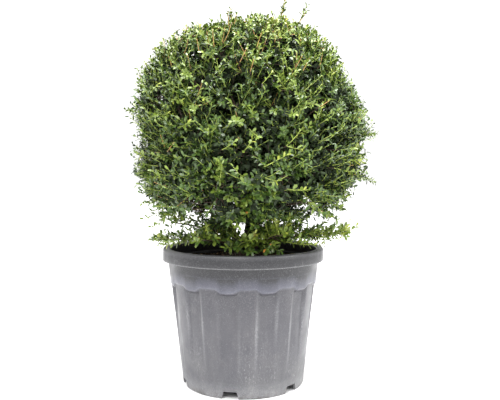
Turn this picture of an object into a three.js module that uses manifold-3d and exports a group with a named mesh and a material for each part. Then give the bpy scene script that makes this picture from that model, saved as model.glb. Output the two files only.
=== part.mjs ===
// A clipped box ball growing in a fluted nursery container, in millimetres, +Z up.
// The origin is the centre of the container's underside, where its middle foot stands on the ground.
import * as THREE from "three";
import { mergeVertices } from "three/addons/utils/BufferGeometryUtils.js";
import Module from "manifold-3d";

const wasm = await Module();
wasm.setup();

// ---------------------------------------------------------------- driving dimensions

const CLEAR = 0.3; // gap between pieces that touch

// container
const POT_HEIGHT = 351;
const RIM_RADIUS = 210; // outside of the turned-down rim
const RIM_SKIRT = 31; // height of the turned-down rim
const RIM_THICK = 5; // its flat top; the skirt that hangs from it is as thick as the wall
const EDGE = 3.5; // bevels on the rim's two upper edges
const MOUTH_RADIUS = 190;
const COLLAR_RADIUS = 198.5; // plain band that runs up under the rim
const COLLAR_FOOT_RADIUS = 190.7;
const COLLAR_FOOT_Z = 271;
const BODY_RADIUS = 188.2; // fluted body where it meets the collar
const FOOT_RADIUS = 157; // fluted body at the ground
const WALL = 3;
const FLUTES = 12;
const FLUTE_DEPTH = 8.5; // at the flutes' top; they run out to nothing near the foot
const FLUTE_TOP_Z = 258;
const FLUTE_FOOT_Z = 48;
const FLUTE_TURN = THREE.MathUtils.degToRad(-11); // centre of the first flute, from the front
const FLOOR_UNDERSIDE = 20;
const MIDDLE_FOOT_RADIUS = 48;
const NOTCH_HEIGHT = 19; // drain notches, cut in the foot below every second flute
const NOTCH_WIDTH = 42;
const DRAIN_RADIUS = 7;
const DRAIN_CIRCLE = 128;

// soil and stems
const SOIL_TOP = 316;
const TRUNK_X = 8;
const TRUNK_RADIUS = 22;
const TRUNK_TAPER = 2;
const TRUNK_FLARE = 9; // how far the root flare stands out at the soil
const TRUNK_LEAN = 5; // along X, from the soil to the fork
const FORK_Z = 374;
const SIDE_BOUGHS = 5; // round the leader, up into the crown
const SIDE_BOUGH_TURN = THREE.MathUtils.degToRad(26); // the first one's, from the front
const SIDE_BOUGH_SPREAD = 96;
const LEADER_RADIUS = 9;
const SIDE_BOUGH_RADIUS = 7;
const BOUGH_TAPER = 0.72; // a bough's tip radius as a share of its foot radius

// crown: a clipped ball, squarer than a sphere, with a flatter underside
const CROWN = new THREE.Vector3(16, 0, 640);
const CROWN_RADIUS = 301;
const CROWN_RISE = 309;
const CROWN_DROP = 220; // centre down to the underside
const CROWN_SQUARE = 2.4; // 2 is a plain ball, more is squarer
const CROWN_UNDER_SQUARE = 4;
const CROWN_LUMPS = 0.02; // unevenness of the clipped face
const CORE_SHARE = 0.88; // the dense core's share of the reach
const CORE_DETAIL = 5; // splits of an icosahedron's edges
const CORE_TUFTS = 0.03; // how far the core's surface swells and sinks, as a share of the reach
const CROWN_STEM_Z = 438; // where the crown's own stem meets the leader
const CROWN_TWIGS = 102;
const CROWN_TWIG_TURN = 0.4; // of the first twig, in radians
const CROWN_TWIG_RADIUS = 6;
const CROWN_TWIG_DROOP = 0.22; // how far below its tip's direction a twig springs from the core
const CROWN_LEAVES = 4; // on each twig
const GOLDEN_ANGLE = Math.PI * (3 - Math.sqrt(5));

// one foliage leaf stands for a small spray of real ones
const LEAF = { length: 48, width: 28, thick: 3, sunk: 7, lift: 0.6, apart: 31 };
const LOW_LEAF = { length: 42, width: 20, thick: 2.6, sunk: 8, lift: 0.8, apart: 22 };
const STRAY_LEAF = { length: 24, width: 11, thick: 2, sunk: 6, lift: 0.8, apart: 7 };

// low sprays under the ball: turn from the front in degrees, reach from the trunk, heights of foot and tip
const LOW_SPRAYS = [
  { name: "front", turn: -6, reach: 122, foot: 352, tip: 372 },
  { name: "front_right", turn: 33, reach: 172, foot: 340, tip: 396 },
  { name: "right", turn: 73, reach: 262, foot: 354, tip: 392 },
  { name: "back_right", turn: 112, reach: 205, foot: 340, tip: 372 },
  { name: "back", turn: 158, reach: 190, foot: 352, tip: 366 },
  { name: "back_left", turn: 208, reach: 200, foot: 340, tip: 364 },
  { name: "left_low", turn: 257, reach: 236, foot: 352, tip: 362 },
  { name: "left_high", turn: 284, reach: 196, foot: 362, tip: 418 },
  { name: "front_left", turn: 318, reach: 165, foot: 340, tip: 380 },
];
const LOW_BOUGH_SHARE = 0.3; // share of a low limb that is bare bough
const LOW_BOUGH_RADIUS = 4.6;
const LOW_TIP_RADIUS = 1.8;
const LOW_TWIG_RADIUS = 2.2;
const LOW_TWIG_EVERY = 70; // one side twig for so much of a spray's reach

// stray shoots left standing above the clipped face: turn, rise above the horizon, and length
const STRAY_RADIUS = 2.6;
const STRAY_LEAVES = 4;
const STRAYS = [
  { turn: 270, rise: 82, length: 26 },
  { turn: 86, rise: 75, length: 33 },
  { turn: 78, rise: 66, length: 28 },
  { turn: 88, rise: 1, length: 18 },
  { turn: 272, rise: 12, length: 16 },
  { turn: 95, rise: -20, length: 26 },
  { turn: -5, rise: 3, length: 2 },
  { turn: 172, rise: 9, length: 10 },
];

// ---------------------------------------------------------------- materials

const finish = (color, roughness) => new THREE.MeshStandardMaterial({ color, roughness, metalness: 0 });
const potPlastic = finish(0x77777b, 0.55);
const soilCrumb = finish(0x241a12, 0.95);
const bark = finish(0x5a4a38, 0.85);
const ballFoliage = finish(0x35512a, 0.4);
const lowFoliage = finish(0x42642f, 0.4);

// ---------------------------------------------------------------- small helpers

// a fixed, unpatterned share from 0 to 1 for each seed and number
function chance(seed, number) {
  const wave = Math.sin(seed * 127.1 + number * 311.7) * 43758.5453;
  return wave - Math.floor(wave);
}

const mix = THREE.MathUtils.lerp;

// unit vector for a turn from the front (-Y) towards +X and a rise above the horizon
const heading = (turn, rise = 0) =>
  new THREE.Vector3(Math.sin(turn) * Math.cos(rise), -Math.cos(turn) * Math.cos(rise), Math.sin(rise));

const degrees = THREE.MathUtils.degToRad;
const UP = new THREE.Vector3(0, 0, 1);

// a closed three.js geometry as a manifold solid
function solid(geometry) {
  const bare = geometry.clone();
  bare.deleteAttribute("normal");
  bare.deleteAttribute("uv");
  const merged = mergeVertices(bare, 1e-4);
  return new wasm.Manifold(
    new wasm.Mesh({
      numProp: 3,
      vertProperties: merged.attributes.position.array,
      triVerts: new Uint32Array(merged.index.array),
    }),
  );
}

// the largest body of a solid, without the loose scraps that a cut leaves
function largest(shape) {
  return shape.decompose().reduce((a, b) => (a.volume() > b.volume() ? a : b));
}

function mesh(name, shape, material) {
  const { vertProperties, triVerts } = largest(shape).getMesh();
  const geometry = new THREE.BufferGeometry()
    .setAttribute("position", new THREE.BufferAttribute(vertProperties, 3))
    .setIndex(new THREE.BufferAttribute(triVerts, 1));
  geometry.computeVertexNormals();
  const made = new THREE.Mesh(geometry, material);
  made.name = name;
  return made;
}

// closed surface through rings of points, each four-cornered face split along its shorter diagonal;
// a ring with one point is a pole
function skin(rings) {
  const starts = [];
  const points = [];
  for (const ring of rings) {
    starts.push(points.length);
    points.push(...ring);
  }
  const faces = [];
  for (let r = 0; r + 1 < rings.length; r++) {
    const [low, high] = [rings[r].length, rings[r + 1].length];
    const count = Math.max(low, high);
    for (let i = 0; i < count; i++) {
      const [a, b] = [starts[r] + (i % low), starts[r] + ((i + 1) % low)];
      const [c, d] = [starts[r + 1] + (i % high), starts[r + 1] + ((i + 1) % high)];
      const split = low > 1 && high > 1 && points[b].distanceTo(points[c]) < points[a].distanceTo(points[d]);
      if (low > 1) faces.push(a, b, split ? c : d);
      if (high > 1) faces.push(split ? b : a, d, c);
    }
  }
  return new THREE.BufferGeometry().setFromPoints(points).setIndex(faces);
}

// ---------------------------------------------------------------- container

// Angles round the wall for each flute: both sides of its flat, then the panel's near edge, middle, far edge.
const FLUTE_STEPS = [-5.2, 5.2, 8.6, 15, 21.4].map(degrees);
const FLUTE_SHARES = [1, 1, 0, 0, 0]; // how deep the flute is at each of those angles
const fluteTurn = (flute) => FLUTE_TURN + (flute * 2 * Math.PI) / FLUTES;
const WALL_ANGLES = [];
for (let flute = 0; flute < FLUTES; flute++) {
  FLUTE_STEPS.forEach((step, i) => {
    WALL_ANGLES.push({ turn: fluteTurn(flute) + step, sunk: FLUTE_SHARES[i] });
  });
}

const COLLAR_TOP_Z = POT_HEIGHT - RIM_THICK;
const share = (value, from, to) => (value - from) / (to - from);
const bodyRadius = (z) => mix(FOOT_RADIUS, BODY_RADIUS, share(z, 0, COLLAR_FOOT_Z - WALL));
const collarRadius = (z) =>
  mix(COLLAR_FOOT_RADIUS, COLLAR_RADIUS, share(z, COLLAR_FOOT_Z, COLLAR_TOP_Z));

// a ring of the wall; fluted is how far the flutes have reached their full depth there
function wallRing(radius, z, fluted = 0) {
  if (radius === 0) return [new THREE.Vector3(0, 0, z)];
  return WALL_ANGLES.map(({ turn, sunk }) =>
    heading(turn).multiplyScalar(radius - FLUTE_DEPTH * fluted * sunk).setZ(z),
  );
}

// the wall's inner face from the floor up to a given height, moved inwards by inset
function innerWall(topZ, inset) {
  const floor = FLOOR_UNDERSIDE + WALL;
  const side = WALL + inset;
  return [
    wallRing(bodyRadius(floor) - side, floor + inset),
    wallRing(bodyRadius(FLUTE_FOOT_Z) - side, FLUTE_FOOT_Z),
    wallRing(bodyRadius(FLUTE_TOP_Z) - side, FLUTE_TOP_Z, 1),
    wallRing(COLLAR_FOOT_RADIUS - side, COLLAR_FOOT_Z),
    wallRing(collarRadius(topZ) - side, topZ),
  ];
}

function notch(turn) {
  const half = NOTCH_WIDTH / 2;
  const outline = new THREE.Shape()
    .moveTo(-half, -1)
    .lineTo(half, -1)
    .lineTo(half * 0.8, NOTCH_HEIGHT)
    .lineTo(-half * 0.8, NOTCH_HEIGHT);
  return solid(
    new THREE.ExtrudeGeometry(outline, { depth: 30, bevelEnabled: false })
      .rotateX(Math.PI / 2)
      .translate(0, -(FOOT_RADIUS - 20), 0)
      .rotateZ(turn),
  );
}

function drainHole(turn) {
  const at = heading(turn).multiplyScalar(DRAIN_CIRCLE);
  return solid(
    new THREE.CylinderGeometry(DRAIN_RADIUS, DRAIN_RADIUS, 4 * WALL, 12)
      .rotateX(Math.PI / 2)
      .translate(at.x, at.y, FLOOR_UNDERSIDE + WALL / 2),
  );
}

// The profile runs out along the underside, up the outside, over the rim, and down the inside to the floor.
function containerSolid() {
  const skirtZ = POT_HEIGHT - RIM_SKIRT;
  const shell = solid(
    skin([
      wallRing(0, 0),
      wallRing(MIDDLE_FOOT_RADIUS, 0),
      wallRing(MIDDLE_FOOT_RADIUS - WALL, FLOOR_UNDERSIDE),
      wallRing(FOOT_RADIUS - 2 * WALL, FLOOR_UNDERSIDE),
      wallRing(FOOT_RADIUS - 2 * WALL, 0),
      wallRing(FOOT_RADIUS - WALL / 2, 0),
      wallRing(bodyRadius(WALL), WALL),
      wallRing(bodyRadius(FLUTE_FOOT_Z), FLUTE_FOOT_Z),
      wallRing(bodyRadius(FLUTE_TOP_Z), FLUTE_TOP_Z, 1),
      wallRing(BODY_RADIUS, COLLAR_FOOT_Z - WALL),
      wallRing(COLLAR_FOOT_RADIUS, COLLAR_FOOT_Z),
      wallRing(COLLAR_RADIUS, COLLAR_TOP_Z),
      wallRing(RIM_RADIUS - WALL - 1, COLLAR_TOP_Z),
      wallRing(RIM_RADIUS - WALL, skirtZ),
      wallRing(RIM_RADIUS, skirtZ),
      wallRing(RIM_RADIUS - 1, POT_HEIGHT - EDGE),
      wallRing(RIM_RADIUS - EDGE, POT_HEIGHT),
      wallRing(MOUTH_RADIUS + EDGE, POT_HEIGHT),
      wallRing(MOUTH_RADIUS, POT_HEIGHT - EDGE),
      ...innerWall(SOIL_TOP + 4, 0).reverse(),
      wallRing(0, FLOOR_UNDERSIDE + WALL),
    ]),
  );
  const cuts = [];
  for (let flute = 0; flute < FLUTES; flute += 2) {
    cuts.push(notch(fluteTurn(flute)), drainHole(fluteTurn(flute)));
  }
  return shell.subtract(wasm.Manifold.union(cuts));
}

// the root ball's compost, level under the trunk and a little uneven towards the wall
function soilSolid() {
  const uneven = (radius, seed) =>
    wallRing(radius, SOIL_TOP).map((p, i) => p.setZ(SOIL_TOP - 5 * chance(seed, i)));
  return solid(
    skin([
      wallRing(0, FLOOR_UNDERSIDE + WALL + CLEAR),
      ...innerWall(SOIL_TOP - 6, CLEAR + 0.1),
      uneven(MOUTH_RADIUS * 0.78, 3),
      wallRing(MOUTH_RADIUS * 0.26, SOIL_TOP),
      wallRing(0, SOIL_TOP),
    ]),
  );
}

// ---------------------------------------------------------------- trunk and boughs

// a round limb along a curve, with its radius given for each share of the way, grown by extra all round
function limb(curve, radiusAt, { sides = 8, steps = 6, extra = 0, flare = null }) {
  const frames = curve.computeFrenetFrames(steps);
  const rings = [];
  for (let s = 0; s <= steps; s++) {
    const along = s / steps;
    const centre = curve.getPointAt(along);
    if (s === 0) centre.addScaledVector(frames.tangents[0], -extra);
    if (s === steps) centre.addScaledVector(frames.tangents[steps], extra);
    if (s === 0) rings.push([centre.clone()]);
    rings.push(
      Array.from({ length: sides }, (_, i) => {
        const turn = (i * 2 * Math.PI) / sides;
        const radius = (radiusAt(along) + extra) * (flare ? flare(turn, along) : 1);
        return centre
          .clone()
          .addScaledVector(frames.normals[s], Math.cos(turn) * radius)
          .addScaledVector(frames.binormals[s], Math.sin(turn) * radius);
      }),
    );
    if (s === steps) rings.push([centre.clone()]);
  }
  return solid(skin(rings));
}

// from the flat cut on the soil up to the fork, leaning a little, with a lobed root flare
function trunkSolid(extra = 0) {
  const foot = new THREE.Vector3(TRUNK_X - TRUNK_LEAN, 0, SOIL_TOP - 4);
  const line = new THREE.LineCurve3(foot, new THREE.Vector3(TRUNK_X, 0, FORK_Z));
  const radius = (along) => TRUNK_RADIUS - TRUNK_TAPER * along + TRUNK_FLARE * (1 - along) ** 5;
  const lobes = (turn, along) => 1 + 0.12 * Math.cos(3 * turn + 1) * (1 - along) ** 2;
  const whole = limb(line, radius, { sides: 14, steps: 6, extra, flare: lobes });
  return whole.trimByPlane([0, 0, 1], SOIL_TOP + CLEAR);
}

const bend = (from, through, to) => new THREE.QuadraticBezierCurve3(from, through, to);

// the leader, up to the crown's own stem, and the boughs round it, which run on into the crown's core
function crownBoughs() {
  const fork = new THREE.Vector3(TRUNK_X, 0, FORK_Z - 12);
  const boughs = [
    {
      name: "bough_leader",
      radius: LEADER_RADIUS,
      curve: bend(fork, new THREE.Vector3(TRUNK_X + 3, 2, FORK_Z + 24), CROWN.clone().setZ(CROWN_STEM_Z)),
    },
  ];
  for (let i = 0; i < SIDE_BOUGHS; i++) {
    const out = heading(SIDE_BOUGH_TURN + (i * 2 * Math.PI) / SIDE_BOUGHS);
    const spread = SIDE_BOUGH_SPREAD * (1 + 0.27 * chance(11, i));
    boughs.push({
      name: `bough_side_${i + 1}`,
      radius: SIDE_BOUGH_RADIUS,
      curve: bend(
        fork.clone().addScaledVector(out, TRUNK_RADIUS * 0.6),
        fork.clone().addScaledVector(out, spread * 0.62).setZ(FORK_Z + 34),
        fork.clone().addScaledVector(out, spread).setZ(FORK_Z + 140),
      ),
    });
  }
  return boughs;
}

// the whole line of a low limb: its first share is the bare bough, and the rest is its spray's stem
function lowLine({ turn, reach, foot, tip }) {
  const out = heading(degrees(turn));
  const start = new THREE.Vector3(TRUNK_X, 0, foot);
  const end = start.clone().addScaledVector(out, reach).setZ(tip);
  const knee = start.clone().addScaledVector(out, reach * 0.5).setZ(mix(foot, tip, 0.5) + 16);
  return bend(start, knee, end);
}

// the stretch of a curve between two shares of its length
function stretch(curve, from, to) {
  const points = [];
  for (let i = 0; i <= 4; i++) points.push(curve.getPointAt(mix(from, to, i / 4)));
  return new THREE.CatmullRomCurve3(points);
}

// ---------------------------------------------------------------- foliage

// distance from the crown's centre to its clipped face along a unit vector
function crownReach(out) {
  const [half, square] = out.z > 0 ? [CROWN_RISE, CROWN_SQUARE] : [CROWN_DROP, CROWN_UNDER_SQUARE];
  const across = Math.hypot(out.x, out.y) / CROWN_RADIUS;
  const face = (across ** square + (Math.abs(out.z) / half) ** square) ** (-1 / square);
  const turn = Math.atan2(out.y, out.x);
  const lean = 2 * Math.cos(turn) * Math.cos(5 * out.z + 0.6);
  const lumps = lean + Math.sin(3 * turn) * Math.cos(7 * out.z + 2);
  return face * (1 + CROWN_LUMPS * lumps);
}

// unit vector of tip number i, of count tips spread evenly round the ball by the golden angle
function spiralTip(i, count, seed) {
  const rise = 1 - (2 * (i + 0.2 + 0.6 * chance(seed, i))) / count;
  const turn = CROWN_TWIG_TURN + i * GOLDEN_ANGLE + 0.3 * (chance(seed + 1, i) - 0.5);
  const flat = Math.sqrt(1 - rise * rise);
  return new THREE.Vector3(Math.cos(turn) * flat, Math.sin(turn) * flat, rise);
}

// the dense inside of the ball, at a share of its reach, with a tufted surface
function coreSolid(share) {
  const ball = new THREE.IcosahedronGeometry(1, CORE_DETAIL);
  const at = ball.attributes.position;
  for (let i = 0; i < at.count; i++) {
    const out = new THREE.Vector3().fromBufferAttribute(at, i).normalize();
    const tufts = Math.sin(17 * out.x + 9 * out.z) * Math.sin(15 * out.y - 11 * out.z + 1);
    const point = out.clone().multiplyScalar(crownReach(out) * (share + CORE_TUFTS * tufts)).add(CROWN);
    at.setXYZ(i, point.x, point.y, point.z);
  }
  return solid(ball);
}

// a straight three-sided twig that tapers from a to b
function twigSolid(a, b, radius) {
  const along = b.clone().sub(a);
  const standing = new THREE.Vector3(0, 1, 0); // the way three.js stands a cylinder
  const turned = new THREE.Quaternion().setFromUnitVectors(standing, along.clone().normalize());
  const middle = a.clone().add(b).multiplyScalar(0.5);
  return solid(
    new THREE.CylinderGeometry(radius * 0.45, radius, along.length(), 3)
      .applyQuaternion(turned)
      .translate(middle.x, middle.y, middle.z),
  );
}

// an eight-faced leaf that grows from root along out, with its broad face towards face
function leafSolid(root, out, face, size) {
  const leaf = new THREE.OctahedronGeometry(1).scale(size.length / 2, size.width / 2, size.thick / 2);
  const at = leaf.attributes.position;
  for (let i = 0; i < at.count; i++) {
    if (Math.abs(at.getX(i)) < 1e-6) at.setX(i, size.length * 0.08); // broadest past the middle
  }
  const side = face.clone().cross(out).normalize();
  const basis = new THREE.Matrix4().makeBasis(out, side, out.clone().cross(side));
  const centre = root.clone().addScaledVector(out, size.length / 2 - size.sunk);
  return solid(leaf.applyMatrix4(basis).translate(centre.x, centre.y, centre.z));
}

// direction of leaf number n on a twig that runs along axis, each turned from the last by the golden angle
function leafHeading(axis, n, lift, seed) {
  const side = UP.clone().cross(axis);
  if (side.lengthSq() < 1e-3) side.set(1, 0, 0);
  side.normalize().applyAxisAngle(axis, n * GOLDEN_ANGLE + 2 * Math.PI * chance(seed, 0));
  return side.addScaledVector(axis, lift).normalize();
}

// Joins to a mass the pieces that keep inside its space, off the limbs and apart from one another's leaves.
function fuse(stock, candidates, inSpace, obstacle) {
  const kept = [];
  for (const candidate of candidates) {
    const { shape, tip, middle, apart } = candidate;
    if (!inSpace(tip)) continue;
    if (middle && kept.some((other) => other.middle?.distanceTo(middle) < apart)) continue;
    if (shape.intersect(obstacle).volume() < 1e-6) kept.push(candidate);
  }
  return largest(wasm.Manifold.union([stock, ...kept.map(({ shape }) => shape)]));
}

function leafCandidate(root, out, face, size) {
  const reach = size.length - size.sunk;
  return {
    shape: leafSolid(root, out, face, size),
    tip: root.clone().addScaledVector(out, reach),
    middle: root.clone().addScaledVector(out, reach / 2),
    apart: size.apart,
  };
}

// leaves along a twig from a to b, the last one at its tip
function leavesOnTwig(a, b, count, size, seed) {
  const axis = b.clone().sub(a).normalize();
  const leaves = [];
  for (let n = 0; n < count; n++) {
    const last = n === count - 1;
    const root = a.clone().lerp(b, last ? 0.97 : mix(0.4, 0.9, n / (count - 1)));
    const out = last ? axis.clone() : leafHeading(axis, n, size.lift, seed);
    leaves.push(leafCandidate(root, out, last ? leafHeading(axis, n, 0, seed) : axis, size));
  }
  return leaves;
}

// The clipped ball: a dense core with a stub of stem, and twigs that stand out of it all round.
function crownSolid(obstacle) {
  const core = coreSolid(CORE_SHARE);
  const stemLine = new THREE.LineCurve3(CROWN.clone().setZ(CROWN_STEM_Z), CROWN);
  const stem = limb(stemLine, () => LEADER_RADIUS * 0.7, { steps: 1 }).subtract(obstacle);
  const pieces = [];
  for (let i = 0; i < CROWN_TWIGS; i++) {
    const out = spiralTip(i, CROWN_TWIGS, 20);
    const tip = CROWN.clone().addScaledVector(out, crownReach(out) - LEAF.length + LEAF.sunk);
    const lower = out.clone().setZ(out.z - CROWN_TWIG_DROOP).normalize();
    const foot = CROWN.clone().addScaledVector(lower, crownReach(lower) * (CORE_SHARE - 0.06));
    pieces.push({ shape: twigSolid(foot, tip, CROWN_TWIG_RADIUS), tip });
    pieces.push(...leavesOnTwig(foot, tip, CROWN_LEAVES, LEAF, 40 + i));
  }
  const inBall = (p) => {
    const out = p.clone().sub(CROWN);
    return out.length() < crownReach(out.clone().normalize()) + 4;
  };
  const ball = fuse(core.add(stem), pieces, inBall, obstacle);
  return fuse(ball, STRAYS.flatMap(strayShoot), () => true, obstacle);
}

// a thin shoot that stands past the clipped face, with small leaves
function strayShoot({ turn, rise, length }, i) {
  const out = heading(degrees(turn), degrees(rise));
  const foot = CROWN.clone().addScaledVector(out, crownReach(out) * CORE_SHARE * 0.97);
  const tip = CROWN.clone().addScaledVector(out, crownReach(out) + length - STRAY_LEAF.length * 0.6);
  const leaves = leavesOnTwig(foot.clone().lerp(tip, 0.3), tip, STRAY_LEAVES, STRAY_LEAF, 70 + i);
  return [{ shape: twigSolid(foot, tip, STRAY_RADIUS), tip }, ...leaves];
}

// A low spray: a stem that goes on from its bough's tip, with twigs to both sides, and leaves on all of them.
function lowSpraySolid(spray, number, obstacle) {
  const line = lowLine(spray);
  const stem = stretch(line, LOW_BOUGH_SHARE, 0.96);
  const taper = (along) => mix(LOW_BOUGH_RADIUS * BOUGH_TAPER, LOW_TIP_RADIUS, along);
  const stock = limb(stem, taper, { sides: 4, steps: 4 });
  const pieces = [];
  const twigs = Math.round(spray.reach / LOW_TWIG_EVERY);
  for (let n = 0; n < twigs; n++) {
    const share = mix(0.18, 0.86, n / (twigs - 1));
    const foot = stem.getPointAt(share);
    const axis = stem.getTangentAt(share);
    const side = (n % 2 ? 1 : -1) * mix(0.75, 1.1, chance(50 + number, n));
    const out = axis.clone().applyAxisAngle(UP, side).setZ(0.16 + 0.5 * chance(60 + number, n)).normalize();
    const tip = foot.clone().addScaledVector(out, mix(34, 58, chance(80 + number, n)));
    pieces.push({ shape: twigSolid(foot, tip, LOW_TWIG_RADIUS), tip });
    pieces.push(...leavesOnTwig(foot, tip, 2, LOW_LEAF, 90 + 7 * number + n));
  }
  pieces.push(...leavesOnTwig(stem.getPointAt(0.45), stem.getPointAt(1), 4, LOW_LEAF, 130 + number));
  const belowBall = (p) => p.z < CROWN.z - CROWN_DROP + 6;
  return fuse(stock.subtract(obstacle), pieces, belowBall, obstacle);
}

// ---------------------------------------------------------------- assembly

const plant = new THREE.Group();

const container = containerSolid();
plant.add(mesh("container", container, potPlastic));
plant.add(mesh("soil", soilSolid(), soilCrumb));

const trunk = trunkSolid();
plant.add(mesh("trunk", trunk, bark));

// everything that later pieces stay clear of, grown by the gap where it is a limb
let taken = trunkSolid(CLEAR);
const core = coreSolid(CORE_SHARE + 0.0015);

for (const { name, radius, curve } of crownBoughs()) {
  const taper = (along) => mix(radius, radius * BOUGH_TAPER, along);
  const bough = limb(curve, taper, { sides: 8, steps: 6 }).subtract(taken).subtract(core);
  plant.add(mesh(name, bough, bark));
  taken = taken.add(limb(curve, taper, { sides: 8, steps: 6, extra: CLEAR }));
}
for (const spray of LOW_SPRAYS) {
  const curve = stretch(lowLine(spray), 0, LOW_BOUGH_SHARE);
  const taper = (along) => mix(LOW_BOUGH_RADIUS, LOW_BOUGH_RADIUS * BOUGH_TAPER, along);
  const bough = limb(curve, taper, { sides: 6, steps: 3 }).subtract(taken);
  plant.add(mesh(`bough_low_${spray.name}`, bough, bark));
  taken = taken.add(limb(curve, taper, { sides: 6, steps: 3, extra: CLEAR }));
}

const crown = crownSolid(taken);
plant.add(mesh("crown_ball", crown, ballFoliage));
taken = wasm.Manifold.union([taken, crown, container]);

LOW_SPRAYS.forEach((spray, number) => {
  const shape = lowSpraySolid(spray, number, taken);
  plant.add(mesh(`low_spray_${spray.name}`, shape, lowFoliage));
  taken = taken.add(shape);
});

export default plant;
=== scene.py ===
import bmesh
import bpy
import numpy as np
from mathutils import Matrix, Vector


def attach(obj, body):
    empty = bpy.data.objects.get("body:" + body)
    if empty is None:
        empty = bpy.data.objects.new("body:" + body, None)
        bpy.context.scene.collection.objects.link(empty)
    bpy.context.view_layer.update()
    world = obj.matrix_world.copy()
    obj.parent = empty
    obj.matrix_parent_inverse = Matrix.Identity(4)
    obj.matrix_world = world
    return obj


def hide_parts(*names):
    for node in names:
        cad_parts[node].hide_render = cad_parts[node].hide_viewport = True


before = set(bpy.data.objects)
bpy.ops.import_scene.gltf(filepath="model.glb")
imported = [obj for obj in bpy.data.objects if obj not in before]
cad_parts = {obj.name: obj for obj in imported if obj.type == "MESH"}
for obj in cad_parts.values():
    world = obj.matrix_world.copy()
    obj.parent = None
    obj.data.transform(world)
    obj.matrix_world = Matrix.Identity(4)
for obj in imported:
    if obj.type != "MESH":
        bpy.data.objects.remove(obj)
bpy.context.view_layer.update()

# Sizes are in millimetres, as in the part's source, and are turned to metres where a mesh is made.
MM = 0.001
GOLDEN_ANGLE = np.pi * (3 - np.sqrt(5))
UP = np.array([0.0, 0.0, 1.0])

# the photograph's camera, fitted to the pot's ellipses; its place is in metres
CAMERA_PLACE = (0.0178, -1.6026, 0.5325)
CAMERA_PITCH = np.radians(2.12)
FOCAL_PIXELS = 612.3
IMAGE_WIDTH, IMAGE_HEIGHT = 500, 400
SENSOR_WIDTH = 36

# ---------------------------------------------------------------- sizes shared with the part's source

POT_HEIGHT = 351
RIM_RADIUS = 210
RIM_SKIRT = 31
RIM_THICK = 5
EDGE = 3.5
MOUTH_RADIUS = 190
COLLAR_RADIUS = 198.5
COLLAR_FOOT_RADIUS = 190.7
COLLAR_FOOT_Z = 271
BODY_RADIUS = 188.2
FOOT_RADIUS = 157
WALL = 3
FLUTES = 12
FLUTE_DEPTH = 8.5
FLUTE_TOP_Z = 258
FLUTE_FOOT_Z = 48
FLUTE_TURN = np.radians(-11)
FLOOR_UNDERSIDE = 20
MIDDLE_FOOT_RADIUS = 48
NOTCH_HEIGHT = 19
NOTCH_WIDTH = 42
DRAIN_RADIUS = 7
DRAIN_CIRCLE = 128

SOIL_TOP = 316
TRUNK_X = 8
TRUNK_RADIUS = 22
TRUNK_TAPER = 2
TRUNK_FLARE = 9
TRUNK_LEAN = 5
FORK_Z = 374
SIDE_BOUGHS = 5
SIDE_BOUGH_TURN = np.radians(26)
SIDE_BOUGH_SPREAD = 96
LEADER_RADIUS = 9
SIDE_BOUGH_RADIUS = 7
BOUGH_TAPER = 0.72

CROWN = np.array([16.0, 0.0, 640.0])
CROWN_RADIUS = 301
CROWN_RISE = 309
CROWN_DROP = 220
CROWN_SQUARE = 2.4
CROWN_UNDER_SQUARE = 4
CROWN_LUMPS = 0.02
CROWN_STEM_Z = 438
CROWN_TWIGS = 102
CROWN_TWIG_TURN = 0.4

LOW_SPRAYS = [
    ("front", -6, 122, 352, 372),
    ("front_right", 33, 172, 340, 396),
    ("right", 73, 262, 354, 392),
    ("back_right", 112, 205, 340, 372),
    ("back", 158, 190, 352, 366),
    ("back_left", 208, 200, 340, 364),
    ("left_low", 257, 236, 352, 362),
    ("left_high", 284, 196, 362, 418),
    ("front_left", 318, 165, 340, 380),
]
LOW_LOFT = {"left_low": 0.3, "right": 0.45}  # how much flatter these sprays' side shoots lie
LOW_BOUGH_RADIUS = 4.6
LOW_TIP_RADIUS = 1.8
STRAYS = [
    (270, 82, 26),
    (86, 75, 33),
    (78, 66, 28),
    (88, 1, 18),
    (272, 12, 16),
    (95, -20, 26),
    (-5, 3, 2),
    (172, 9, 10),
]

# ---------------------------------------------------------------- foliage sizes

LEAF_LENGTH = 17.5
LOW_LEAF_LENGTH = 19
INNER_LEAF_LENGTH = 22
SPRAYS = 300  # groups that the tufts are gathered in
TUFTS = 1000  # twig ends just inside the clipped face
TUFT_SHOOTS = 5
SHOOT_LEAVES = 9
INNER_SHOOTS = 5200
INNER_LEAVES = 6
LOW_SHOOT_EVERY = 4.9  # one leafy shoot for so much of a low spray's reach
SHOOT_RADIUS = 1.1
TWIG_REACH = 0.84  # shares of the way to the clipped face where the thicker twigs and the tufts' twigs end
TUFT_REACH = 0.895
INNER_LOWEST = 458  # heights below which no inner shoot and no hanging shoot ends
HANGING_LOWEST = 412
BALL_WOOD_Z = 430  # above this the wood is the ball's own
TAN_SHOOTS = (0.02, 0.48)  # share of shoots with light brown bark, low on the ball and on its top

# ---------------------------------------------------------------- helpers


def chance(seed, number):
    """A fixed, unpatterned share from 0 to 1 for each seed and number, as in the part's source."""
    wave = np.sin(seed * 127.1 + np.asarray(number, float) * 311.7) * 43758.5453
    return wave - np.floor(wave)


def scatter(number, *seeds):
    """Vectors whose parts are unpatterned, from -0.5 to 0.5, with a seed for each part."""
    return np.stack([chance(seed, number) - 0.5 for seed in seeds], -1)


def mix(a, b, share):
    return a + (b - a) * share


def unit(v):
    v = np.asarray(v, float)
    return v / np.maximum(np.linalg.norm(v, axis=-1, keepdims=True), 1e-9)


def share_past(value, start, width):
    """How far value is past start, as a share of width from 0 to 1."""
    return np.clip((value - start) / width, 0, 1)


def heading(turn, rise=0.0):
    """Unit vectors for a turn from the front (-Y) towards +X, and a rise above the horizon."""
    turn, rise = np.broadcast_arrays(np.asarray(turn, float), np.asarray(rise, float))
    return np.stack([np.sin(turn) * np.cos(rise), -np.cos(turn) * np.cos(rise), np.sin(rise)], -1)


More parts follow.
